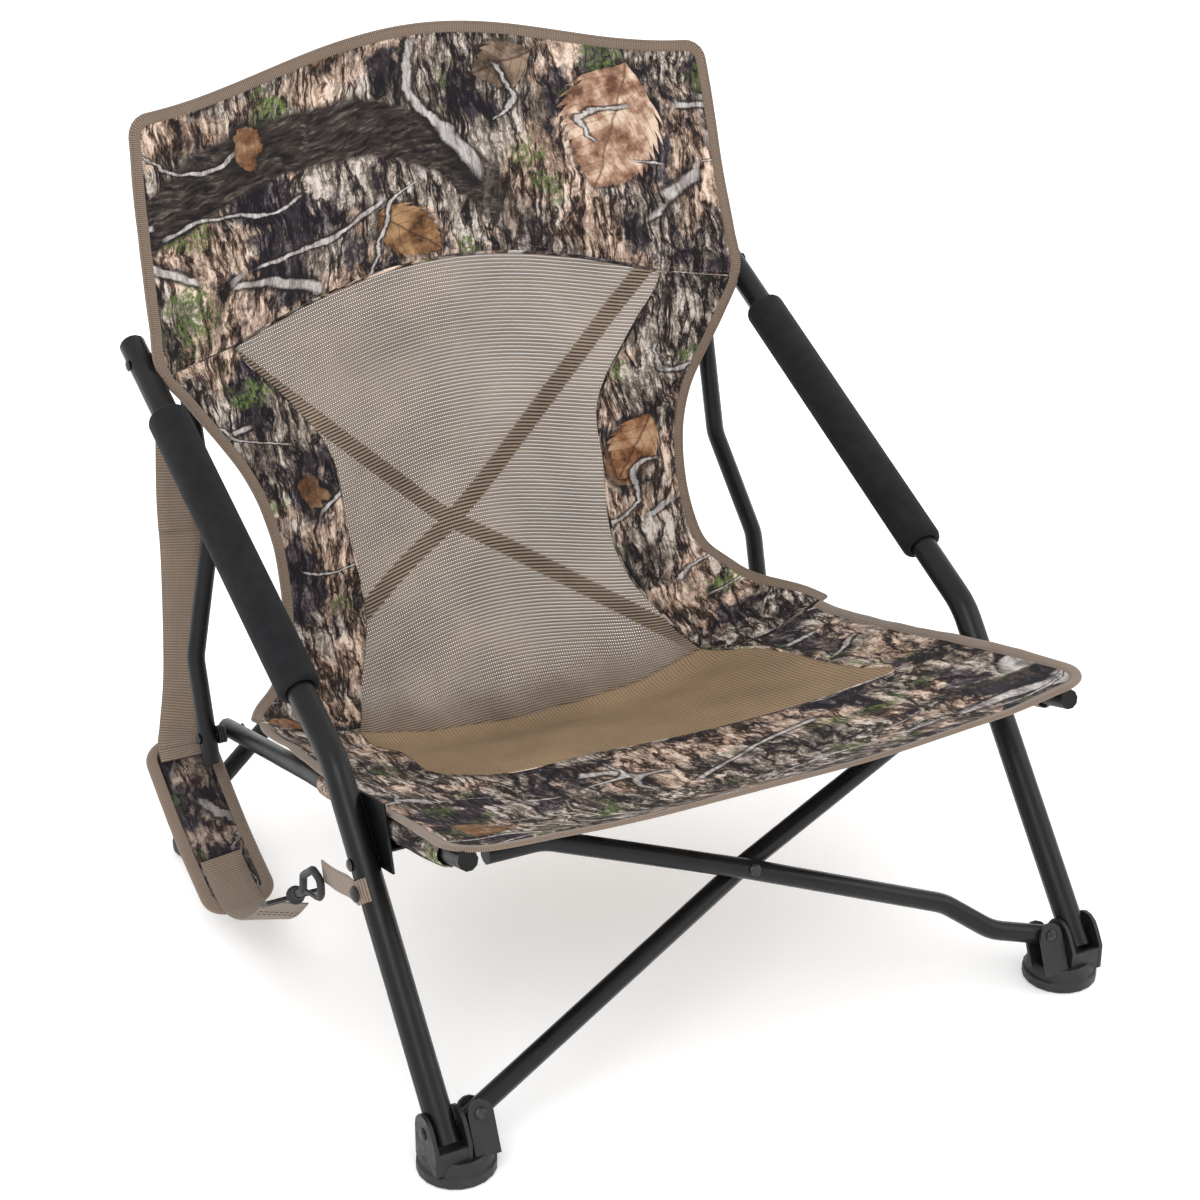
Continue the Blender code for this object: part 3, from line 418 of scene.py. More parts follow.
def twigs(s, cloth, bark, picture):
    """Long bent twigs, pale on top with a dark lower edge, each broken off somewhere."""
    for offset, scale, width, gate in (
        ((1.7, 5.2, 0.0), 3.6, 0.0080, 0.50),
        ((6.4, 2.9, 0.0), 6.5, 0.0110, 0.52),
        ((3.6, 8.8, 0.0), 9.0, 0.0070, 0.50),
    ):
        space = s.shaken(s.scaled(cloth, (0.55, 1.0, 1.0), offset), 0.014, 34.0, 4.0, 0.6)
        ridge = s.off_half(s.noise(space, scale, 1.0, 0.3))
        broken = s.remap(s.noise(s.scaled(cloth, (1, 1, 1), offset), 8.0, 2.0), gate, gate + 0.02)
        dark = s.times(s.remap(ridge, width * 1.6, width), broken)
        pale = s.times(s.remap(ridge, width * 0.75, width * 0.4), broken)
        tint = s.ramp(bark, (0.40, 0.150, 0.125, 0.115), (0.58, 0.620, 0.580, 0.560))
        picture = s.mix(s.times(dark, 0.85), picture, (0.012, 0.010, 0.011))
        picture = s.mix(pale, picture, tint)
    return picture


COAT = powder_coat()
PLASTIC = moulded_plastic()
STEEL = blackened_steel()
FOAM = grip_foam()
BINDING = ribbed_tape("binding_tape", (0.105, 0.070, 0.048), (0.300, 0.222, 0.162))
WEBBING = ribbed_tape("strap_webbing", (0.100, 0.070, 0.050), (0.320, 0.240, 0.176), 0.0024)
STITCH = ribbed_tape("stitch_thread", (0.070, 0.050, 0.036), (0.180, 0.130, 0.092), 0.0008)
BACK_MESH = open_mesh("back_open_mesh", "along", 0.06, (0.400, 0.308, 0.232), (0.085, 0.060, 0.042), 0.80)
SEAT_MESH = open_mesh("seat_open_mesh", "across", 0.80, (0.360, 0.250, 0.150), (0.170, 0.112, 0.064), 0.35)
PRINT = woodland_print("woodland_print")
# The pad's print is a darker copy of the same print: painted shade.
PAD_PRINT = woodland_print("woodland_print_shaded", 0.55)


def smoothing_group(limit):
    """Welds a carried-over solid's triangles and shades it smooth, but for edges over the limit."""
    group = bpy.data.node_groups.new("weld_and_smooth", "GeometryNodeTree")
    group.interface.new_socket("Geometry", in_out="INPUT", socket_type="NodeSocketGeometry")
    group.interface.new_socket("Geometry", in_out="OUTPUT", socket_type="NodeSocketGeometry")
    make, join = group.nodes.new, group.links.new
    start, end = make("NodeGroupInput"), make("NodeGroupOutput")
    weld = make("GeometryNodeMergeByDistance")
    weld.inputs["Distance"].default_value = 0.00002
    angle = make("GeometryNodeInputMeshEdgeAngle")
    gentle = make("FunctionNodeCompare")
    gentle.data_type = "FLOAT"
    gentle.operation = "LESS_THAN"
    gentle.inputs["B"].default_value = math.radians(limit)
    faces, edges = make("GeometryNodeSetShadeSmooth"), make("GeometryNodeSetShadeSmooth")
    edges.domain = "EDGE"
    join(start.outputs[0], weld.inputs["Geometry"])
    join(weld.outputs[0], faces.inputs["Geometry"])
    join(faces.outputs[0], edges.inputs["Geometry"])
    join(angle.outputs["Unsigned Angle"], gentle.inputs["A"])
    join(gentle.outputs["Result"], edges.inputs["Shade Smooth"])
    join(edges.outputs[0], end.inputs[0])
    return group


def dress_frame():
    """Finishes the carried-over solids: their material, smooth shading and slightly rounded edges."""
    looks = (
        (("arm_tube", "back_upright", "rail_saddle", "front_cross", "rear_cross", "seat_rail"), COAT),
        (("arm_grip",), FOAM),
        (("arm_cap", "arm_spacer", "rail_spacer", "front_foot", "rear_foot", "strap_slider",
          "hook_swivel", "snap_hook", "hook_gate", "tab_stud"), PLASTIC),
    )
    group = smoothing_group(44.0)
    for name, node in NODES.items():
        chosen = STEEL
        for starts, look in looks:
            if name.startswith(starts) and "_pin_" not in name and not name.endswith("_pin"):
                chosen = look
        for slot in node.material_slots:
            slot.material = chosen
        normals = node.data.attributes.get("custom_normal")
        if normals is not None:
            node.data.attributes.remove(normals)
        node.modifiers.new("smooth", "NODES").node_group = group
        rounding = node.modifiers.new("edges", "BEVEL")
        rounding.width = 0.0016 if name.startswith("arm_grip") else 0.0004
        rounding.segments = 3 if name.startswith("arm_grip") else 2
        rounding.limit_method = "ANGLE"
        rounding.angle_limit = math.radians(44.0)


# ---------------------------------------------------------------- sling surface
# Each row: place along the cloth, half width, height and depth of its edge and of its middle.
SLING_ROWS = np.array((
    (0.00, 0.2580, 0.2975, 0.6260, 0.3220, 0.6650),
    (0.07, 0.2615, 0.2860, 0.5800, 0.3070, 0.6000),
    (0.15, 0.2645, 0.2705, 0.5200, 0.2935, 0.5400),
    (0.22, 0.2670, 0.2530, 0.4700, 0.2800, 0.4800),
    (0.28, 0.2670, 0.2420, 0.4370, 0.2690, 0.4350),
    (0.34, 0.2440, 0.2320, 0.4020, 0.2610, 0.3950),
    (0.41, 0.2070, 0.2240, 0.3430, 0.2460, 0.3450),
    (0.49, 0.1900, 0.2040, 0.2800, 0.2280, 0.2850),
    (0.57, 0.1950, 0.1750, 0.2140, 0.1990, 0.2150),
    (0.63, 0.2100, 0.1490, 0.1950, 0.1640, 0.1555),
    (0.68, 0.2330, 0.1200, 0.1825, 0.1300, 0.1225),
    (0.70, 0.2510, 0.1030, 0.1790, 0.1080, 0.1145),
    (0.78, 0.2600, 0.0200, 0.1890, 0.0300, 0.1330),
    (0.86, 0.2620, -0.1000, 0.2125, -0.0900, 0.1640),
    (0.93, 0.2640, -0.2100, 0.2415, -0.2000, 0.1950),
    (1.00, 0.2700, -0.3060, 0.2680, -0.3080, 0.2550),
))
JOIN_V = 0.70
MESH_EDGE = ((0.22, 0.76), (0.272, 0.76), (0.36, 0.685), (0.42, 0.64), (0.49, 0.668), (0.58, 0.635),
             (0.655, 0.68), (0.70, 0.66))
SEAT_MESH_LEFT = ((0.70, 0.66), (0.74, 0.61), (0.82, 0.62), (0.90, 0.64))
SEAT_MESH_RIGHT = ((0.70, 0.66), (0.74, 0.735), (0.80, 0.770), (0.857, 0.80), (0.884, 0.857))
SEAT_MESH_FRONT = ((-1.0, 0.818), (-0.78, 0.830), (0.0, 0.829), (0.45, 0.846), (0.78, 0.868), (1.0, 0.884))
CLOTH_T = 0.0011
RIGHT_EDGE_RISE = 0.0100
TOP_CORNER = (0.035, 0.014)
FRONT_CORNER = (0.120, 0.026)
SEAT_MESH_CORNER = (0.07, 0.09)


def curve_values(table, at):
    """Values on a smooth curve through the rows of a table, whose first column is the place."""
    table = np.asarray(table, float)
    knots, values = table[:, 0], table[:, 1:]
    slopes = np.gradient(values, knots, axis=0)
    at = np.asarray(at, float)
    row = np.clip(np.searchsorted(knots, at, "right") - 1, 0, len(knots) - 2)
    gap = (knots[row + 1] - knots[row])[..., None]
    t = np.clip((at - knots[row])[..., None] / gap, 0.0, 1.0)
    start = values[row] * (2 * t**3 - 3 * t**2 + 1) + slopes[row] * gap * (t**3 - 2 * t**2 + t)
    return start + values[row + 1] * (3 * t**2 - 2 * t**3) + slopes[row + 1] * gap * (t**3 - t**2)


def round_corner(u, v, size, corner_v, inward):
    """Rounds the two corners at that end, both sides alike."""
    a = (np.abs(u) - (1.0 - size[0])) / size[0]
    b = 1.0 - (v - corner_v) * inward / size[1]
    inside = (a > 0.0) & (b > 0.0)
    a, b = np.where(inside, a, 0.0), np.where(inside, b, 0.0)
    new_a = a * np.sqrt(1.0 - b * b / 2.0)
    new_b = b * np.sqrt(1.0 - a * a / 2.0)
    rounded_u = np.sign(u) * (1.0 - size[0] + new_a * size[0])
    rounded_v = corner_v + (1.0 - new_b) * size[1] * inward
    return np.where(inside, rounded_u, u), np.where(inside, rounded_v, v)


def bare_surface(u, v):
    half, edge_y, edge_z, middle_y, middle_z = np.moveaxis(curve_values(SLING_ROWS, v), -1, 0)
    bow = 1.0 - np.abs(u) ** 2.2
    crest = np.cos(np.pi * u / 2.0) ** 2
    near_crest = np.clip(1.0 - v / 0.10, 0.0, 1.0)
    rise = bow + (crest - bow) * near_crest
    y = edge_y + (middle_y - edge_y) * bow
    z = edge_z + (middle_z - edge_z) * rise
    right = np.clip(u, 0.0, 1.0) ** 3
    curl = np.exp(-(((v - 0.855) / 0.065) ** 2)) + 1.4 * np.exp(-(((v - 0.935) / 0.065) ** 2))
    z = z + RIGHT_EDGE_RISE * right * curl
    x = u * half + 0.013 * right * np.clip((v - 0.90) / 0.10, 0.0, 1.0) ** 2
    return np.stack([x, y, z], axis=-1)


def arc_table():
    """Distance along the cloth from the crest, for places across it and along it."""
    across = np.linspace(0.0, 1.0, 15)
    along = np.linspace(0.0, 1.0, 401)
    grid_u, grid_v = np.meshgrid(across, along, indexing="ij")
    points = bare_surface(grid_u, grid_v)
    steps = np.linalg.norm(np.diff(points, axis=1), axis=-1)
    return np.concatenate([np.zeros((15, 1)), np.cumsum(steps, axis=1)], axis=1)


ARC = arc_table()


def arc_length(u, v):
    i = np.clip(np.abs(u) * 14.0, 0, 13.999)
    j = np.clip(v * 400.0, 0, 399.999)
    i0, j0 = i.astype(int), j.astype(int)
    fi, fj = i - i0, j - j0
    near = ARC[i0, j0] * (1 - fj) + ARC[i0, j0 + 1] * fj
    far = ARC[i0 + 1, j0] * (1 - fj) + ARC[i0 + 1, j0 + 1] * fj
    return near * (1 - fi) + far * fi


def noise_at(x, y, seed):
    flat_x, flat_y = np.ravel(x), np.ravel(y)
    values = [noise.noise(Vector((a, b, seed))) for a, b in zip(flat_x.tolist(), flat_y.tolist())]
    return np.array(values).reshape(np.shape(x))


def relief(u, v, across, along):
    """Slack, puckers beside the bound edges, and pulls where back and seat meet."""
    edge = np.clip((np.abs(u) - 0.55) / 0.40, 0.0, 1.0)
    calm = 1.0 - 0.65 * np.clip((np.abs(u) - 0.86) / 0.10, 0.0, 1.0)
    slack = noise_at(across * 8.0, along * 6.0, 1.3) * 0.0022
    pucker = noise_at(across * 22.0, along * 38.0, 5.1) * 0.0021 * edge
    drag = noise_at(across * 11.0 + along * 24.0, along * 9.0 - across * 15.0, 2.2) * 0.0026 * edge
    join = np.exp(-(((v - 0.685) / 0.045) ** 2))
    pulls = noise_at(across * 27.0, along * 6.0, 8.2) * 0.0034 * join
    crest = np.exp(-((v / 0.05) ** 2)) * noise_at(across * 20.0, along * 30.0, 3.7) * 0.0022
    return (slack + pucker + drag + pulls + crest) * calm


def surface(u, v, lift=0.0):
    """Points on the cloth, their outward normals, and their flat coordinates."""
    u, v = np.broadcast_arrays(np.asarray(u, float), np.asarray(v, float))
    u, v = round_corner(u, v, TOP_CORNER, 0.0, 1.0)
    u, v = round_corner(u, v, FRONT_CORNER, 1.0, -1.0)
    step = 0.002
    points = bare_surface(u, v)
    low_v, high_v = np.clip(v - step, 0.0, 1.0), np.clip(v + step, 0.0, 1.0)
    low_u, high_u = np.clip(u - step, -1.0, 1.0), np.clip(u + step, -1.0, 1.0)
    along = bare_surface(u, high_v) - bare_surface(u, low_v)
    across = bare_surface(high_u, v) - bare_surface(low_u, v)
    normals = unit(np.cross(across, along))
    normals *= np.where(normals[..., 1] - normals[..., 2] < 0.0, 1.0, -1.0)[..., None]
    length = arc_length(u, v)
    height = relief(u, v, points[..., 0], length) + lift
    points = points + normals * height[..., None] + np.array(MIDDLE)
    flat = np.stack([points[..., 0] - MIDDLE.x, length, np.zeros_like(length)], axis=-1)
    return points, normals, flat


# ---------------------------------------------------------------- mesh helpers
def build_mesh(name, verts, faces, looks, cloth, face_look=None, sharp=50.0):
    mesh = bpy.data.meshes.new(name)
    mesh.from_pydata(np.asarray(verts, float).tolist(), [], [tuple(f) for f in faces])
    flat = mesh.attributes.new("cloth", "FLOAT_VECTOR", "POINT")
    flat.data.foreach_set("vector", np.asarray(cloth, np.float32).ravel())
    for look in looks:
        mesh.materials.append(look)
    if face_look is not None:
        mesh.polygons.foreach_set("material_index", np.asarray(face_look, np.int32))
    mesh.shade_smooth()
    mesh.set_sharp_from_angle(angle=math.radians(sharp))
    mesh.update()
    obj = bpy.data.objects.new(name, mesh)
    bpy.context.scene.collection.objects.link(obj)
    return obj


def grid_faces(rows, columns, first=0, wrap=False):
    faces = []
    span = columns if wrap else columns - 1
    for row in range(rows - 1):
        for column in range(span):
            a = first + row * columns + column
            b = first + row * columns + (column + 1) % columns
            faces.append((a, b, b + columns, a + columns))
    return faces


def settle(obj):
    """Applies the piece's modifiers."""
    graph = bpy.context.evaluated_depsgraph_get()
    mesh = bpy.data.meshes.new_from_object(obj.evaluated_get(graph))
    obj.modifiers.clear()
    obj.data = mesh
    return obj


def thicken(obj, thickness, offset=0.0):
    shell = obj.modifiers.new("thickness", "SOLIDIFY")
    shell.thickness = thickness
    shell.offset = offset
    shell.use_even_offset = False
    return settle(obj)


def sweep(name, centres, side, normal, profile, look, seed=0.0, sharp=50.0):
    """A solid strip along the centres. The profile is in the side and normal directions."""
    centres, side, normal = (np.asarray(x, float) for x in (centres, side, normal))
    profile = np.asarray(profile, float)
    rows, columns = len(centres), len(profile)
    verts = centres[:, None] + side[:, None] * profile[None, :, :1] + normal[:, None] * profile[None, :, 1:]
    cloth = np.empty((rows, columns, 3))
    cloth[..., 0] = run_along(profile)[None, :]
    cloth[..., 1] = run_along(centres)[:, None]
    cloth[..., 2] = seed
    faces = grid_faces(rows, columns, wrap=True)
    faces.append(tuple(range(columns - 1, -1, -1)))
    faces.append(tuple((rows - 1) * columns + i for i in range(columns)))
    obj = build_mesh(name, verts.reshape(-1, 3), faces, [look], cloth.reshape(-1, 3), sharp=sharp)
    outward(obj)
    return obj


def outward(obj):
    bm = bmesh.new()
    bm.from_mesh(obj.data)
    bmesh.ops.recalc_face_normals(bm, faces=bm.faces)
    bm.to_mesh(obj.data)
    bm.free()


def frames_along(u, v, lift=0.0):
    """Centres, sides, normals and tangents along a path drawn on the cloth."""
    points, normals, _ = surface(u, v, lift)
    tangents = unit(np.gradient(points, axis=0))
    return points, unit(np.cross(normals, tangents)), normals, tangents


def evenly(u, v, spacing):
    """The same path with evenly spaced places."""
    fine = np.linspace(0.0, 1.0, 4000)
    base = np.linspace(0.0, 1.0, len(u))
    fine_u, fine_v = np.interp(fine, base, u), np.interp(fine, base, v)
    run = run_along(surface(fine_u, fine_v)[0])
    count = max(3, int(run[-1] / spacing))
    wanted = np.linspace(0.0, run[-1], count)
    place_at = np.interp(wanted, run, fine)
    return np.interp(place_at, base, u), np.interp(place_at, base, v)


def stitch_row(rows, u, v, inset, sides, pitch=0.0038, length=0.0027, proud=0.0008):
    """Adds a row of stitches that far in from a path, on the sides given as signs."""
    u, v = evenly(u, v, pitch)
    points, side, normals, tangents = frames_along(u, v)
    for sign in sides:
        rows.append((points + side * inset + normals * sign * proud, tangents, side, normals * sign, length))


def stitches(name, rows):
    """All the stitches of one piece as one mesh of small closed thread loops."""
    verts, faces, cloth = [], [], []
    ring = ((0.36, 0.30), (0.0, 0.42), (-0.36, 0.30))
    for points, tangents, side, up, length in rows:
        for p, t, s, n in zip(points, tangents, side, up):
            first = len(verts)
            verts.append(p - t * length * 0.5 - n * 0.0003)
            for place_t, size in ring:
                for a, b in ((1, 0), (0, 1), (-1, 0), (0, -1)):
                    verts.append(p - t * length * place_t + s * a * size * 0.0009 + n * b * size * 0.0009)
            verts.append(p + t * length * 0.5 - n * 0.0003)
            for k in range(4):
                m = (k + 1) % 4
                faces.append((first, first + 1 + m, first + 1 + k))
                for layer in (1, 5):
                    a, b = first + layer + k, first + layer + m
                    faces.append((a, b, b + 4, a + 4))
                faces.append((first + 13, first + 9 + k, first + 9 + m))
            cloth.extend([(0.0, 0.0006 * j, 0.0) for j in range(14)])
    return build_mesh(name, verts, faces, [STITCH], cloth, sharp=80.0)


# ---------------------------------------------------------------- sling panels
def mesh_edge(v):
    return curve_values(MESH_EDGE, np.clip(v, 0.22, 0.70))[..., 0]


def top_arc(u):
    inner = 0.22 + 0.052 * (u / 0.76) ** 2
    outer = 0.272 + 0.018 * (np.abs(u) - 0.76) / 0.24
    return np.where(np.abs(u) < 0.76, inner, outer)


def top_print_panel():
    u, t = np.meshgrid(np.linspace(-1.0, 1.0, 121), np.linspace(0.0, 1.0, 45))
    u = np.sign(u) * (1.0 - (1.0 - np.abs(u)) ** 1.15)
    return u, t * top_arc(u)


def back_mesh_panel():
    s, t = np.meshgrid(np.linspace(-1.0, 1.0, 81), np.linspace(0.0, 1.0, 101))
    v = top_arc(s * 0.76) * (1.0 - t) + JOIN_V * t
    return s * mesh_edge(v), v


def wing_end(sign, r):
    """Where a wing of the back stops on the seat, from its inner edge to its bound edge."""
    reach = 0.014 if sign < 0.0 else 0.040
    return JOIN_V + reach * np.sin(np.clip(r * 1.9, 0.0, 1.0) * np.pi / 2.0)


def wing_panel(sign):
    r, t = np.meshgrid(np.linspace(0.0, 1.0, 19), np.linspace(0.0, 1.0, 111))
    v = (0.272 + 0.018 * r) * (1.0 - t) + wing_end(sign, r) * t
    inner = mesh_edge(0.272 * (1.0 - t) + JOIN_V * t)
    return sign * (inner + (1.0 - inner) * r), v


def seat_mesh_point(s, t):
    """A place on the seat's mesh, whose front corners are rounded. It reaches further on the right."""
    s, t = round_corner(s, t, SEAT_MESH_CORNER, 1.0, -1.0)
    v = JOIN_V + (curve_values(SEAT_MESH_FRONT, s)[..., 0] - JOIN_V) * t
    left, right = curve_values(SEAT_MESH_LEFT, v)[..., 0], curve_values(SEAT_MESH_RIGHT, v)[..., 0]
    return s * np.where(s < 0.0, left, right), v


def seat_mesh_panel():
    s, t = np.meshgrid(np.linspace(-1.0, 1.0, 81), np.linspace(0.0, 1.0, 61))
    return seat_mesh_point(s, t)


def ring_params():
    """Places along the inner and outer edges of the seat's printed band, from one rear end to the other."""
    side = np.linspace(0.0, 1.0, 60)
    front = np.linspace(-1.0, 1.0, 110)[1:-1]
    s = np.concatenate([-np.ones(60), front, np.ones(60)])
    t = np.concatenate([side, np.ones(108), side[::-1]])
    return s, t


def seat_band_panel():
    s, t = ring_params()
    inner_u, inner_v = seat_mesh_point(s, t)
    outer_u, outer_v = s, JOIN_V + (1.0 - JOIN_V) * t
    r = np.linspace(0.0, 1.0, 31)[:, None]
    return inner_u * (1 - r) + outer_u * r, inner_v * (1 - r) + outer_v * r


def cloth_object(name, panels):
    """One sheet made of panels. Each panel is (u, v, look, pattern offset, height)."""
    verts, faces, cloth, face_look, looks = [], [], [], [], []
    for u, v, look, offset, lift in panels:
        points, _, flat = surface(u, v, lift)
        if look not in looks:
            looks.append(look)
        made = grid_faces(*u.shape, first=sum(len(x) for x in verts))
        verts.append(points.reshape(-1, 3))
        cloth.append(flat.reshape(-1, 3) + np.array(offset))
        faces.extend(made)
        face_look.extend([looks.index(look)] * len(made))
    obj = build_mesh(name, np.concatenate(verts), faces, looks, np.concatenate(cloth), face_look)
    area = sum(p.area for p in obj.data.polygons)
    return thicken(obj, CLOTH_T), area


def fold_line(name, u, v, look, lift=0.0004):
    """A turned edge where a printed panel laps over the mesh."""
    u, v = evenly(u, v, 0.004)
    points, side, normals, _ = frames_along(u, v, lift)
    profile = [(-0.0022, -0.0004), (-0.0018, 0.0006), (-0.0006, 0.0012), (0.0008, 0.0010), (0.0016, 0.0002),
               (0.0014, -0.0008), (-0.0014, -0.0010)]
    return sweep(name, points, side, normals, profile, look, 3.0)


def both_faces(upper, tip):
    """A strip's profile: the points of its upper face, its far edge, and the same points below."""
    return (*upper, tip, *((across, -rise) for across, rise in reversed(upper)))


def binding(name, u, v):
    u, v = evenly(u, v, 0.0035)
    points, side, normals, _ = frames_along(u, v)
    profile = both_faces(((0.0088, 0.0008), (0.0086, 0.0015), (0.0060, 0.0018), (0.0020, 0.0019),
                          (-0.0004, 0.0016), (-0.0013, 0.0008)), (-0.0015, 0.0))
    return sweep(name, points, side, normals, profile, BINDING)


def fabric(obj, body):
    """The piece moves with that body, and has a mesh of its own."""
    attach(obj, body)
    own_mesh(obj)


def back_outline():
    left = np.linspace(float(wing_end(-1.0, 1.0)), 0.0, 160)
    across = np.linspace(-1.0, 1.0, 120)[1:-1]
    right = np.linspace(0.0, float(wing_end(1.0, 1.0)), 160)
    u = np.concatenate([-np.ones(160), across, np.ones(160)])
    v = np.concatenate([left, np.zeros(118), right])
    return u, v


def seat_outline():
    s, t = ring_params()
    v = JOIN_V + (1.0 - JOIN_V) * t
    start = np.where(s < 0.0, float(wing_end(-1.0, 1.0)), float(wing_end(1.0, 1.0))) - 0.010
    shown = (np.abs(s) < 1.0) | (v >= start)
    return s[shown], v[shown]


def make_back():
    cloth, area = cloth_object("back_cloth", (
        (*back_mesh_panel(), BACK_MESH, (0, 0, 0), 0.0),
        (*top_print_panel(), PRINT, (0.9, 0.1, 0), 0.0007),
        (*wing_panel(-1.0), PRINT, (2.3, 1.9, 0), 0.0014),
        (*wing_panel(1.0), PRINT, (3.1, 2.7, 0), 0.0014),
    ))
    outline = back_outline()
    edge = binding("back_binding", *outline)
    arc_u = np.linspace(-0.995, 0.995, 160)
    folds = [fold_line("back_top_seam", arc_u, top_arc(arc_u), PRINT)]
    rows = []
    stitch_row(rows, *outline, 0.0068, (1.0, -1.0), proud=0.0017)
    stitch_row(rows, arc_u, top_arc(arc_u) - 0.006, 0.0, (1.0,), proud=0.0013)
    for name, sign in (("left", -1.0), ("right", 1.0)):
        v = np.linspace(0.274, JOIN_V, 140)
        folds.append(fold_line(f"back_wing_seam_{name}", sign * mesh_edge(v), v, PRINT))
        stitch_row(rows, sign * (mesh_edge(v) + 0.013), v, 0.0, (1.0,), proud=0.0018)
        r = np.linspace(0.0, 1.0, 40)
        inner = float(mesh_edge(JOIN_V))
        folds.append(fold_line(f"back_wing_end_{name}", sign * (inner + (1.0 - inner) * r), wing_end(sign, r),
                               PRINT, 0.0016))
    thread = stitches("back_stitching", rows)
    for piece in [cloth, edge, thread, *folds]:
        fabric(piece, "left_side")
    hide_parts("back_sling")


def make_seat():
    cloth, area = cloth_object("seat_cloth", (
        (*seat_mesh_panel(), SEAT_MESH, (0, 0, 0), 0.0),
        (*seat_band_panel(), PRINT, (5.2, 4.4, 0), 0.0007),
    ))
    outline = seat_outline()
    edge = binding("seat_binding", *outline)
    fold = fold_line("seat_band_seam", *seat_mesh_point(*ring_params()), PRINT)
    rows = []
    stitch_row(rows, *outline, 0.0068, (1.0, -1.0), proud=0.0017)
    thread = stitches("seat_stitching", rows)
    for piece in (cloth, edge, thread, fold):
        fabric(piece, "left_rail")
    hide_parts("seat_sling")


# ---------------------------------------------------------------- sleeves
def smooth_path(points, spacing):
    """Evenly spaced places on a Catmull-Rom curve through the points."""
    points = np.asarray(points, float)
    ends = np.vstack([2 * points[0] - points[1], points, 2 * points[-1] - points[-2]])
    fine = []
    for i in range(len(points) - 1):
        p0, p1, p2, p3 = ends[i : i + 4]
        for t in np.linspace(0.0, 1.0, 60, endpoint=False):
            fine.append(0.5 * (2 * p1 + (p2 - p0) * t + (2 * p0 - 5 * p1 + 4 * p2 - p3) * t * t
                               + (3 * p1 - p0 - 3 * p2 + p3) * t**3))
    fine.append(points[-1])
    fine = np.array(fine)
    run = run_along(fine)
    return at_run(np.linspace(0.0, run[-1], max(3, int(run[-1] / spacing))), run, fine)


def frames_on(path, toward):
    """Side and normal directions along a path, the side kept near the direction given."""
    tangents = unit(np.gradient(path, axis=0))
    normal = unit(np.cross(np.broadcast_to(np.asarray(toward, float), path.shape), tangents))
    return np.cross(tangents, normal), normal, tangents


def sleeve(name, points, radius, body, toward, seed):
    """A printed sleeve round a tube, drawn up to the cloth's edge, with loose folds."""
    path = smooth_path(points, 0.005)
    side, normal, _ = frames_on(path, toward)
    turns = 24
    rows = len(path)
    angle = np.linspace(0.0, 2.0 * np.pi, turns, endpoint=False)
    run = np.linspace(0.0, 1.0, rows) * np.linalg.norm(path[-1] - path[0])
    grid_run, grid_angle = np.meshgrid(run, angle, indexing="ij")
    loose = noise_at(grid_run * 30.0 + 3.0 * np.sin(grid_angle), np.cos(grid_angle) * 1.2, seed) * 0.0010
    reach = radius + np.maximum(loose, -0.0004)
    verts = path[:, None] + side[:, None] * (np.cos(grid_angle) * reach)[..., None]
    verts = verts + normal[:, None] * (np.sin(grid_angle) * reach)[..., None]
    cloth = np.stack([grid_angle * radius + seed, grid_run + seed * 0.7, np.zeros_like(grid_run)], axis=-1)
    faces = grid_faces(rows, turns, wrap=True)
    obj = build_mesh(name, verts.reshape(-1, 3) + np.array(MIDDLE), faces, [PRINT], cloth.reshape(-1, 3))
    thicken(obj, 0.0010, -1.0)
    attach(obj, body)
    return obj


def upright_point(sign, z):
    return (sign * UPRIGHT_X, ARM_PIVOT[0] + UPRIGHT_LEAN * (z - ARM_PIVOT[1]), z)


def make_sleeves():
    rail = smooth_path(RAIL_PATH, 0.004)
    for name, sign, rail_body, side_body in (("left", -1.0, "left_rail", "left_side"),
                                             ("right", 1.0, "right_rail", "right_side")):
        mirrored = rail * np.array([sign, 1.0, 1.0])
        kept = mirrored[(mirrored[:, 1] < -0.035) & (mirrored[:, 1] > -0.285)]
        sleeve(f"seat_sleeve_{name}", kept[::6], 0.0092, rail_body, (0.0, 0.0, 1.0), 6.0 + sign)
        high = [upright_point(sign, z) for z in (0.470, 0.510, 0.550, 0.590)]
        sleeve(f"back_sleeve_{name}", high, 0.0092, side_body, (1.0, 0.0, 0.0), 9.0 + sign)


# ---------------------------------------------------------------- carrying strap
def ribbon(name, points, across, offset=0.0, seed=0.0, width=STRAP_W, thickness=STRAP_T):
    """A stretch of webbing along the points, that far off them."""
    path = smooth_path(points, 0.004)
    side, normal, _ = frames_on(path, across)
    half, rise = width / 2.0, thickness / 2.0
    bevel = rise * 0.6
    places = (-half + bevel, -half * 0.5, 0.0, half * 0.5, half - bevel)
    upper = tuple((place_across, rise) for place_across in places)
    profile = ((-half, 0.0), *both_faces(upper, (half, 0.0)))
    return sweep(name, path + normal * offset + np.array(MIDDLE), side, normal, profile, WEBBING, seed, 60.0)


def pad_point(path, side, normal, run, s, a, n):
    """A point of the pad at run s, that far across and that far out of its middle surface."""
    across = at_run(s, run, side) * np.asarray(a)[..., None]
    return at_run(s, run, path) + across + at_run(s, run, normal) * np.asarray(n)[..., None]


def pad_half_width(s, total):
    """Half the pad's width: straight sides and round ends."""
    near = np.clip(np.minimum(s, total - s) / PAD_END_R, 0.0, 1.0)
    return PAD_W / 2.0 * (1.0 - (1.0 - near) ** 2.4) ** (1.0 / 2.4)


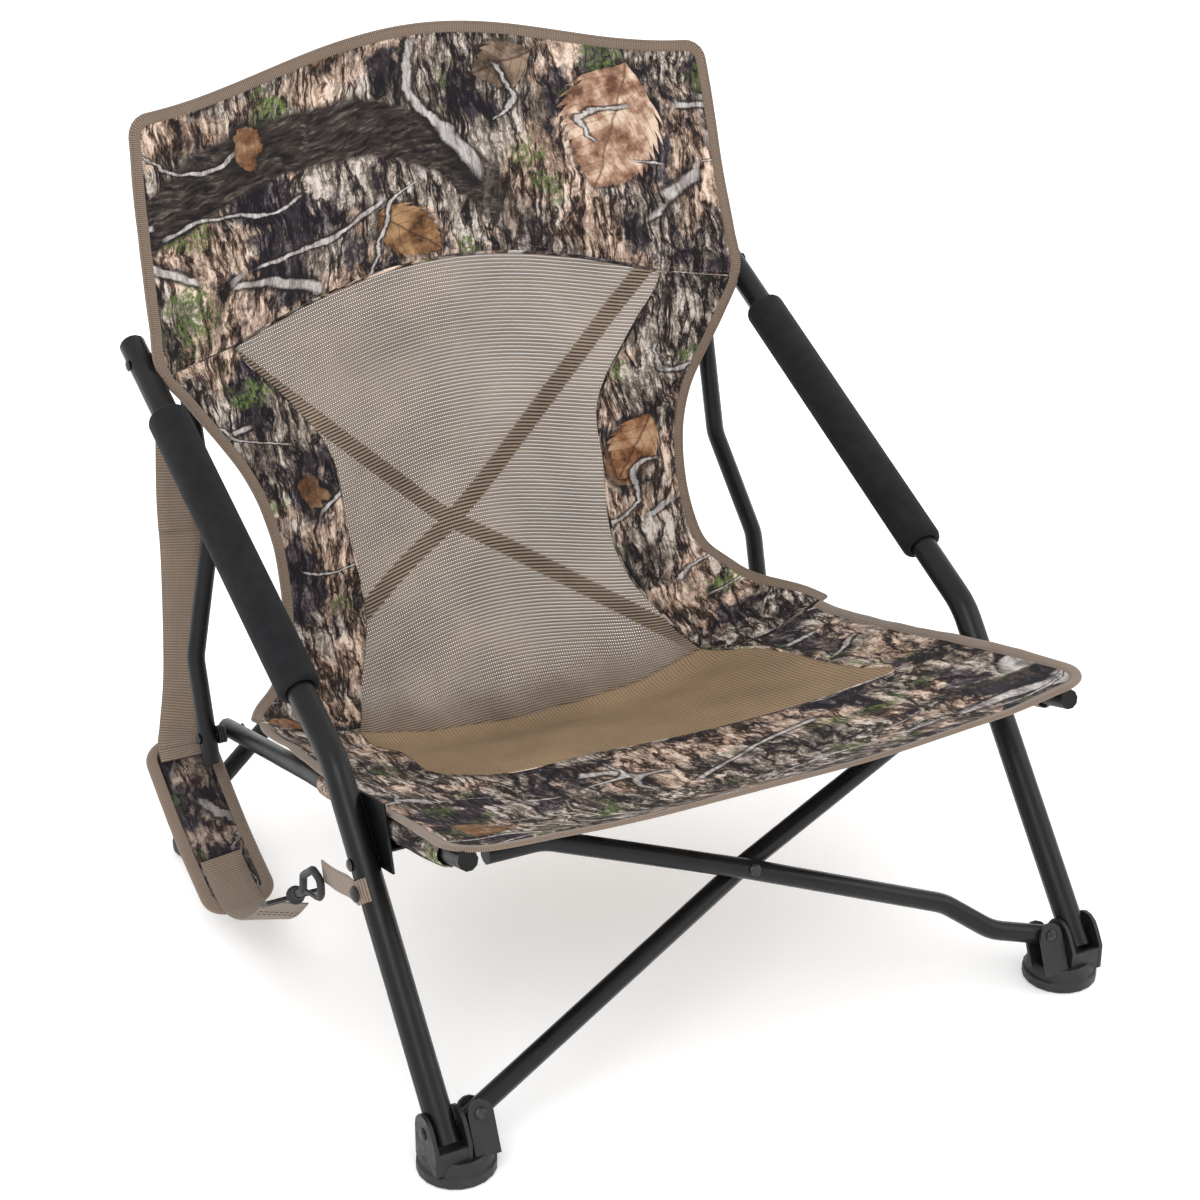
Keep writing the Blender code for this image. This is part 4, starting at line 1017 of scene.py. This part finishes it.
def pad_cover(path, side, normal, run):
    """The stuffed cover before it is filled: a slim closed shape with round ends."""
    total = run[-1]
    s = np.concatenate([[0.0006], np.linspace(0.002, 0.024, 10), np.linspace(0.028, total - 0.028, 28),
                        np.linspace(total - 0.024, total - 0.002, 10), [total - 0.0006]])
    around = 28
    angle = np.linspace(0.0, 2.0 * np.pi, around, endpoint=False)
    grid_s, grid_angle = np.meshgrid(s, angle, indexing="ij")
    half = pad_half_width(grid_s, total) - 0.0015
    a = half * np.sign(np.cos(grid_angle)) * np.abs(np.cos(grid_angle)) ** 0.8
    n = 0.0036 * np.minimum(1.0, half / 0.012) * np.sin(grid_angle)
    verts = pad_point(path, side, normal, run, grid_s, a, n)
    faces = grid_faces(len(s), around, wrap=True)
    faces.append(tuple(range(around - 1, -1, -1)))
    faces.append(tuple((len(s) - 1) * around + i for i in range(around)))
    cloth = np.stack([a + PAD_PATTERN[0], grid_s + PAD_PATTERN[1], np.zeros_like(a)], axis=-1)
    obj = build_mesh("strap_pad_cover", verts.reshape(-1, 3), faces, [PAD_PRINT], cloth.reshape(-1, 3))
    outward(obj)
    return obj


def fill_pad(obj, path, side, run):
    """Fills the cover by a short cloth simulation with pressure, then draws the print on it again."""
    remesh = obj.modifiers.new("remesh", "REMESH")
    remesh.mode = "VOXEL"
    remesh.voxel_size = PAD_VOXEL
    settle(obj)
    start = np.array([v.co for v in obj.data.vertices])
    soft = obj.modifiers.new("cloth", "CLOTH")
    soft.settings.use_pressure = True
    soft.settings.uniform_pressure_force = PAD_PRESSURE
    soft.settings.effector_weights.gravity = 0.0
    soft.settings.quality = 6
    for step in range(1, PAD_FILL_STEPS + 1):
        bpy.context.scene.frame_set(step)
    graph = bpy.context.evaluated_depsgraph_get()
    moved = np.array([v.co for v in obj.evaluated_get(graph).data.vertices]) - start
    moved -= moved.mean(axis=0)
    reach = np.linalg.norm(moved, axis=1, keepdims=True)
    capped = start + moved * np.minimum(1.0, PAD_FILL_LIMIT / np.maximum(reach, 1e-9))
    obj.modifiers.clear()
    bpy.context.scene.frame_set(1)
    obj.data.vertices.foreach_set("co", capped.astype(np.float32).ravel())
    nearest = np.argmin(np.linalg.norm(start[:, None] - path[None], axis=2), axis=1)
    across = np.einsum("ij,ij->i", start - path[nearest], side[nearest])
    flat = np.stack([across + PAD_PATTERN[0], run[nearest] + PAD_PATTERN[1], np.zeros(len(start))], axis=1)
    tags = obj.data.attributes.new("cloth", "FLOAT_VECTOR", "POINT")
    tags.data.foreach_set("vector", flat.astype(np.float32).ravel())
    obj.data.materials.clear()
    obj.data.materials.append(PAD_PRINT)
    smooth = obj.modifiers.new("smooth", "SUBSURF")
    smooth.levels = 1
    smooth.render_levels = 1
    settle(obj)
    obj.data.shade_smooth()


def pad_binding(path, side, normal, run):
    total = run[-1]
    t = np.linspace(0.0, 1.0, 150)
    one = np.stack([pad_half_width(total * t, total), total * t], axis=1)
    closed = np.concatenate([one, one[::-1][1:-1] * np.array([-1.0, 1.0]), one[:1]])
    length = run_along(closed)
    wanted = np.linspace(0.0, length[-1], 130)
    a = np.interp(wanted, length, closed[:, 0])
    s = np.interp(wanted, length, closed[:, 1])
    centres = pad_point(path, side, normal, run, s, a, np.zeros_like(a))
    tangents = np.gradient(centres, axis=0)
    tangents[0] = tangents[-1] = centres[1] - centres[-2]
    out = at_run(s, run, normal)
    inward = unit(np.cross(out, tangents))
    middle = centres.mean(axis=0)
    if np.einsum("ij,ij->", inward, middle - centres) < 0.0:
        inward = -inward
    profile = both_faces(((0.0088, 0.0040), (0.0084, 0.0047), (0.0050, 0.0044), (0.0016, 0.0034),
                          (-0.0006, 0.0018)), (-0.0012, 0.0))
    return sweep("strap_pad_binding", centres, inward, out, profile, BINDING)


def webbing_stitches(name, points, across, places):
    """Rows of stitches across a webbing strap, at those shares of its length."""
    proud = 0.0009
    path = smooth_path(points, 0.004)
    side, normal, tangents = frames_on(path, across)
    rows = []
    for share in places:
        i = int(share * (len(path) - 1))
        line = np.linspace(-STRAP_W / 2.0 + 0.003, STRAP_W / 2.0 - 0.003, 8)[:, None]
        at = path[i] + side[i] * line + np.array(MIDDLE)
        for sign in (1.0, -1.0):
            up = np.repeat(normal[i : i + 1] * sign, 8, axis=0)
            rows.append((at + up * proud, np.repeat(side[i : i + 1], 8, axis=0),
                         np.repeat(tangents[i : i + 1], 8, axis=0), up, 0.0034))
    return stitches(name, rows)


def tab_path():
    """The webbing tab's way: round the outside of the leg, then off to the hook."""
    way = (LEG_BEND - LEG_FOOT) / np.linalg.norm(LEG_BEND - LEG_FOOT)
    middle = np.array((-LEG_X, *(LEG_FOOT + way * TAB_REACH)))
    leg = np.array((0.0, way[0], way[1]))
    behind = np.array((0.0, way[1], -way[0]))
    outer = np.array((-1.0, 0.0, 0.0))
    radius = LEG_R + TAB_T
    path = [middle + (outer * math.cos(a) - behind * math.sin(a)) * radius
            for a in np.linspace(math.radians(60.0), 0.0, 8)]
    for off, back, up in ((0.0, 0.0130, 0.0080), (0.001, 0.0340, 0.0170), (0.001, 0.0580, 0.0290)):
        path.append(middle + outer * (radius + off) + behind * back + leg * up)
    return path, leg


def make_strap():
    across = tuple(STRAP_ACROSS)
    upper = ribbon("strap_webbing_upper", STRAP_UPPER, across)
    top = smooth_path(STRAP_UPPER, 0.004)
    loop = ribbon("strap_webbing_loop", top[: int(len(top) * 0.32)], (0.93, -0.36, 0.0), -0.0024, 0.7)
    upper_thread = webbing_stitches("strap_upper_stitching", STRAP_UPPER, across,
                                    (0.27, 0.285, 0.30, 0.315, 0.97))
    path = smooth_path(STRAP_PAD, 0.003) + np.array(MIDDLE)
    side, normal, _ = frames_on(path, across)
    run = run_along(path)
    cover = pad_cover(path, side, normal, run)
    fill_pad(cover, path, side, run)
    edge = pad_binding(path, side, normal, run)
    lower = ribbon("strap_webbing_lower", STRAP_LOWER, across)
    lower_thread = webbing_stitches("strap_lower_stitching", STRAP_LOWER, across, (0.80, 0.85))
    way, leg = tab_path()
    tab = ribbon("strap_webbing_tab", way, leg, width=TAB_W, thickness=TAB_T)
    for piece in (upper, loop, upper_thread, cover, edge, lower, lower_thread, tab):
        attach(piece, "left_side")
    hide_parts("strap_upper")
    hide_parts("strap_pad")
    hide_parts("strap_lower")
    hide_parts("strap_tab")


# ---------------------------------------------------------------- stage
def make_stage():
    bpy.ops.mesh.primitive_plane_add(size=30.0, location=(0.0, 0.0, 0.0))
    floor = bpy.context.object
    floor.name = "floor"
    s = Shader("pale_floor")
    pale = s.ramp(s.noise(s.object_space(), 3.0, 2.0), (0.3, 0.955, 0.955, 0.955), (0.7, 0.965, 0.965, 0.965))
    floor.data.materials.append(s.finish(pale, 0.9, Emission_Color=(1.0, 1.0, 1.0), Emission_Strength=0.22))
    world = bpy.data.worlds.new("studio")
    bpy.context.scene.world = world
    world.use_nodes = True
    world.node_tree.nodes["Background"].inputs["Color"].default_value = (1.0, 1.0, 1.0, 1.0)
    world.node_tree.nodes["Background"].inputs["Strength"].default_value = 1.10
    for name, location, size, power in (
        ("key", (-1.8, -2.2, 2.9), 1.8, 34.0),
        ("fill", (2.4, -1.6, 1.9), 2.0, 16.0),
        ("rim", (0.6, 2.2, 2.4), 1.6, 14.0),
    ):
        data = bpy.data.lights.new(name, "AREA")
        data.size = size
        data.energy = power
        lamp = bpy.data.objects.new(name, data)
        bpy.context.scene.collection.objects.link(lamp)
        lamp.location = location
        lamp.rotation_euler = (Vector((0.0, 0.0, 0.3)) - Vector(location)).to_track_quat("-Z", "Y").to_euler()
    bpy.context.scene.view_settings.view_transform = "Standard"


def make_camera():
    data = bpy.data.cameras.new("camera")
    data.lens = 83.34
    data.sensor_width = 36.0
    data.clip_start = 0.05
    camera = bpy.data.objects.new("camera", data)
    bpy.context.scene.collection.objects.link(camera)
    camera.location = place(-0.9464, -1.8075, 1.2589)
    camera.rotation_euler = (math.radians(90.0 - 25.85), 0.0, math.radians(-27.80))
    bpy.context.scene.camera = camera


dress_frame()
make_back()
make_seat()
make_sleeves()
make_strap()
make_stage()
make_camera()
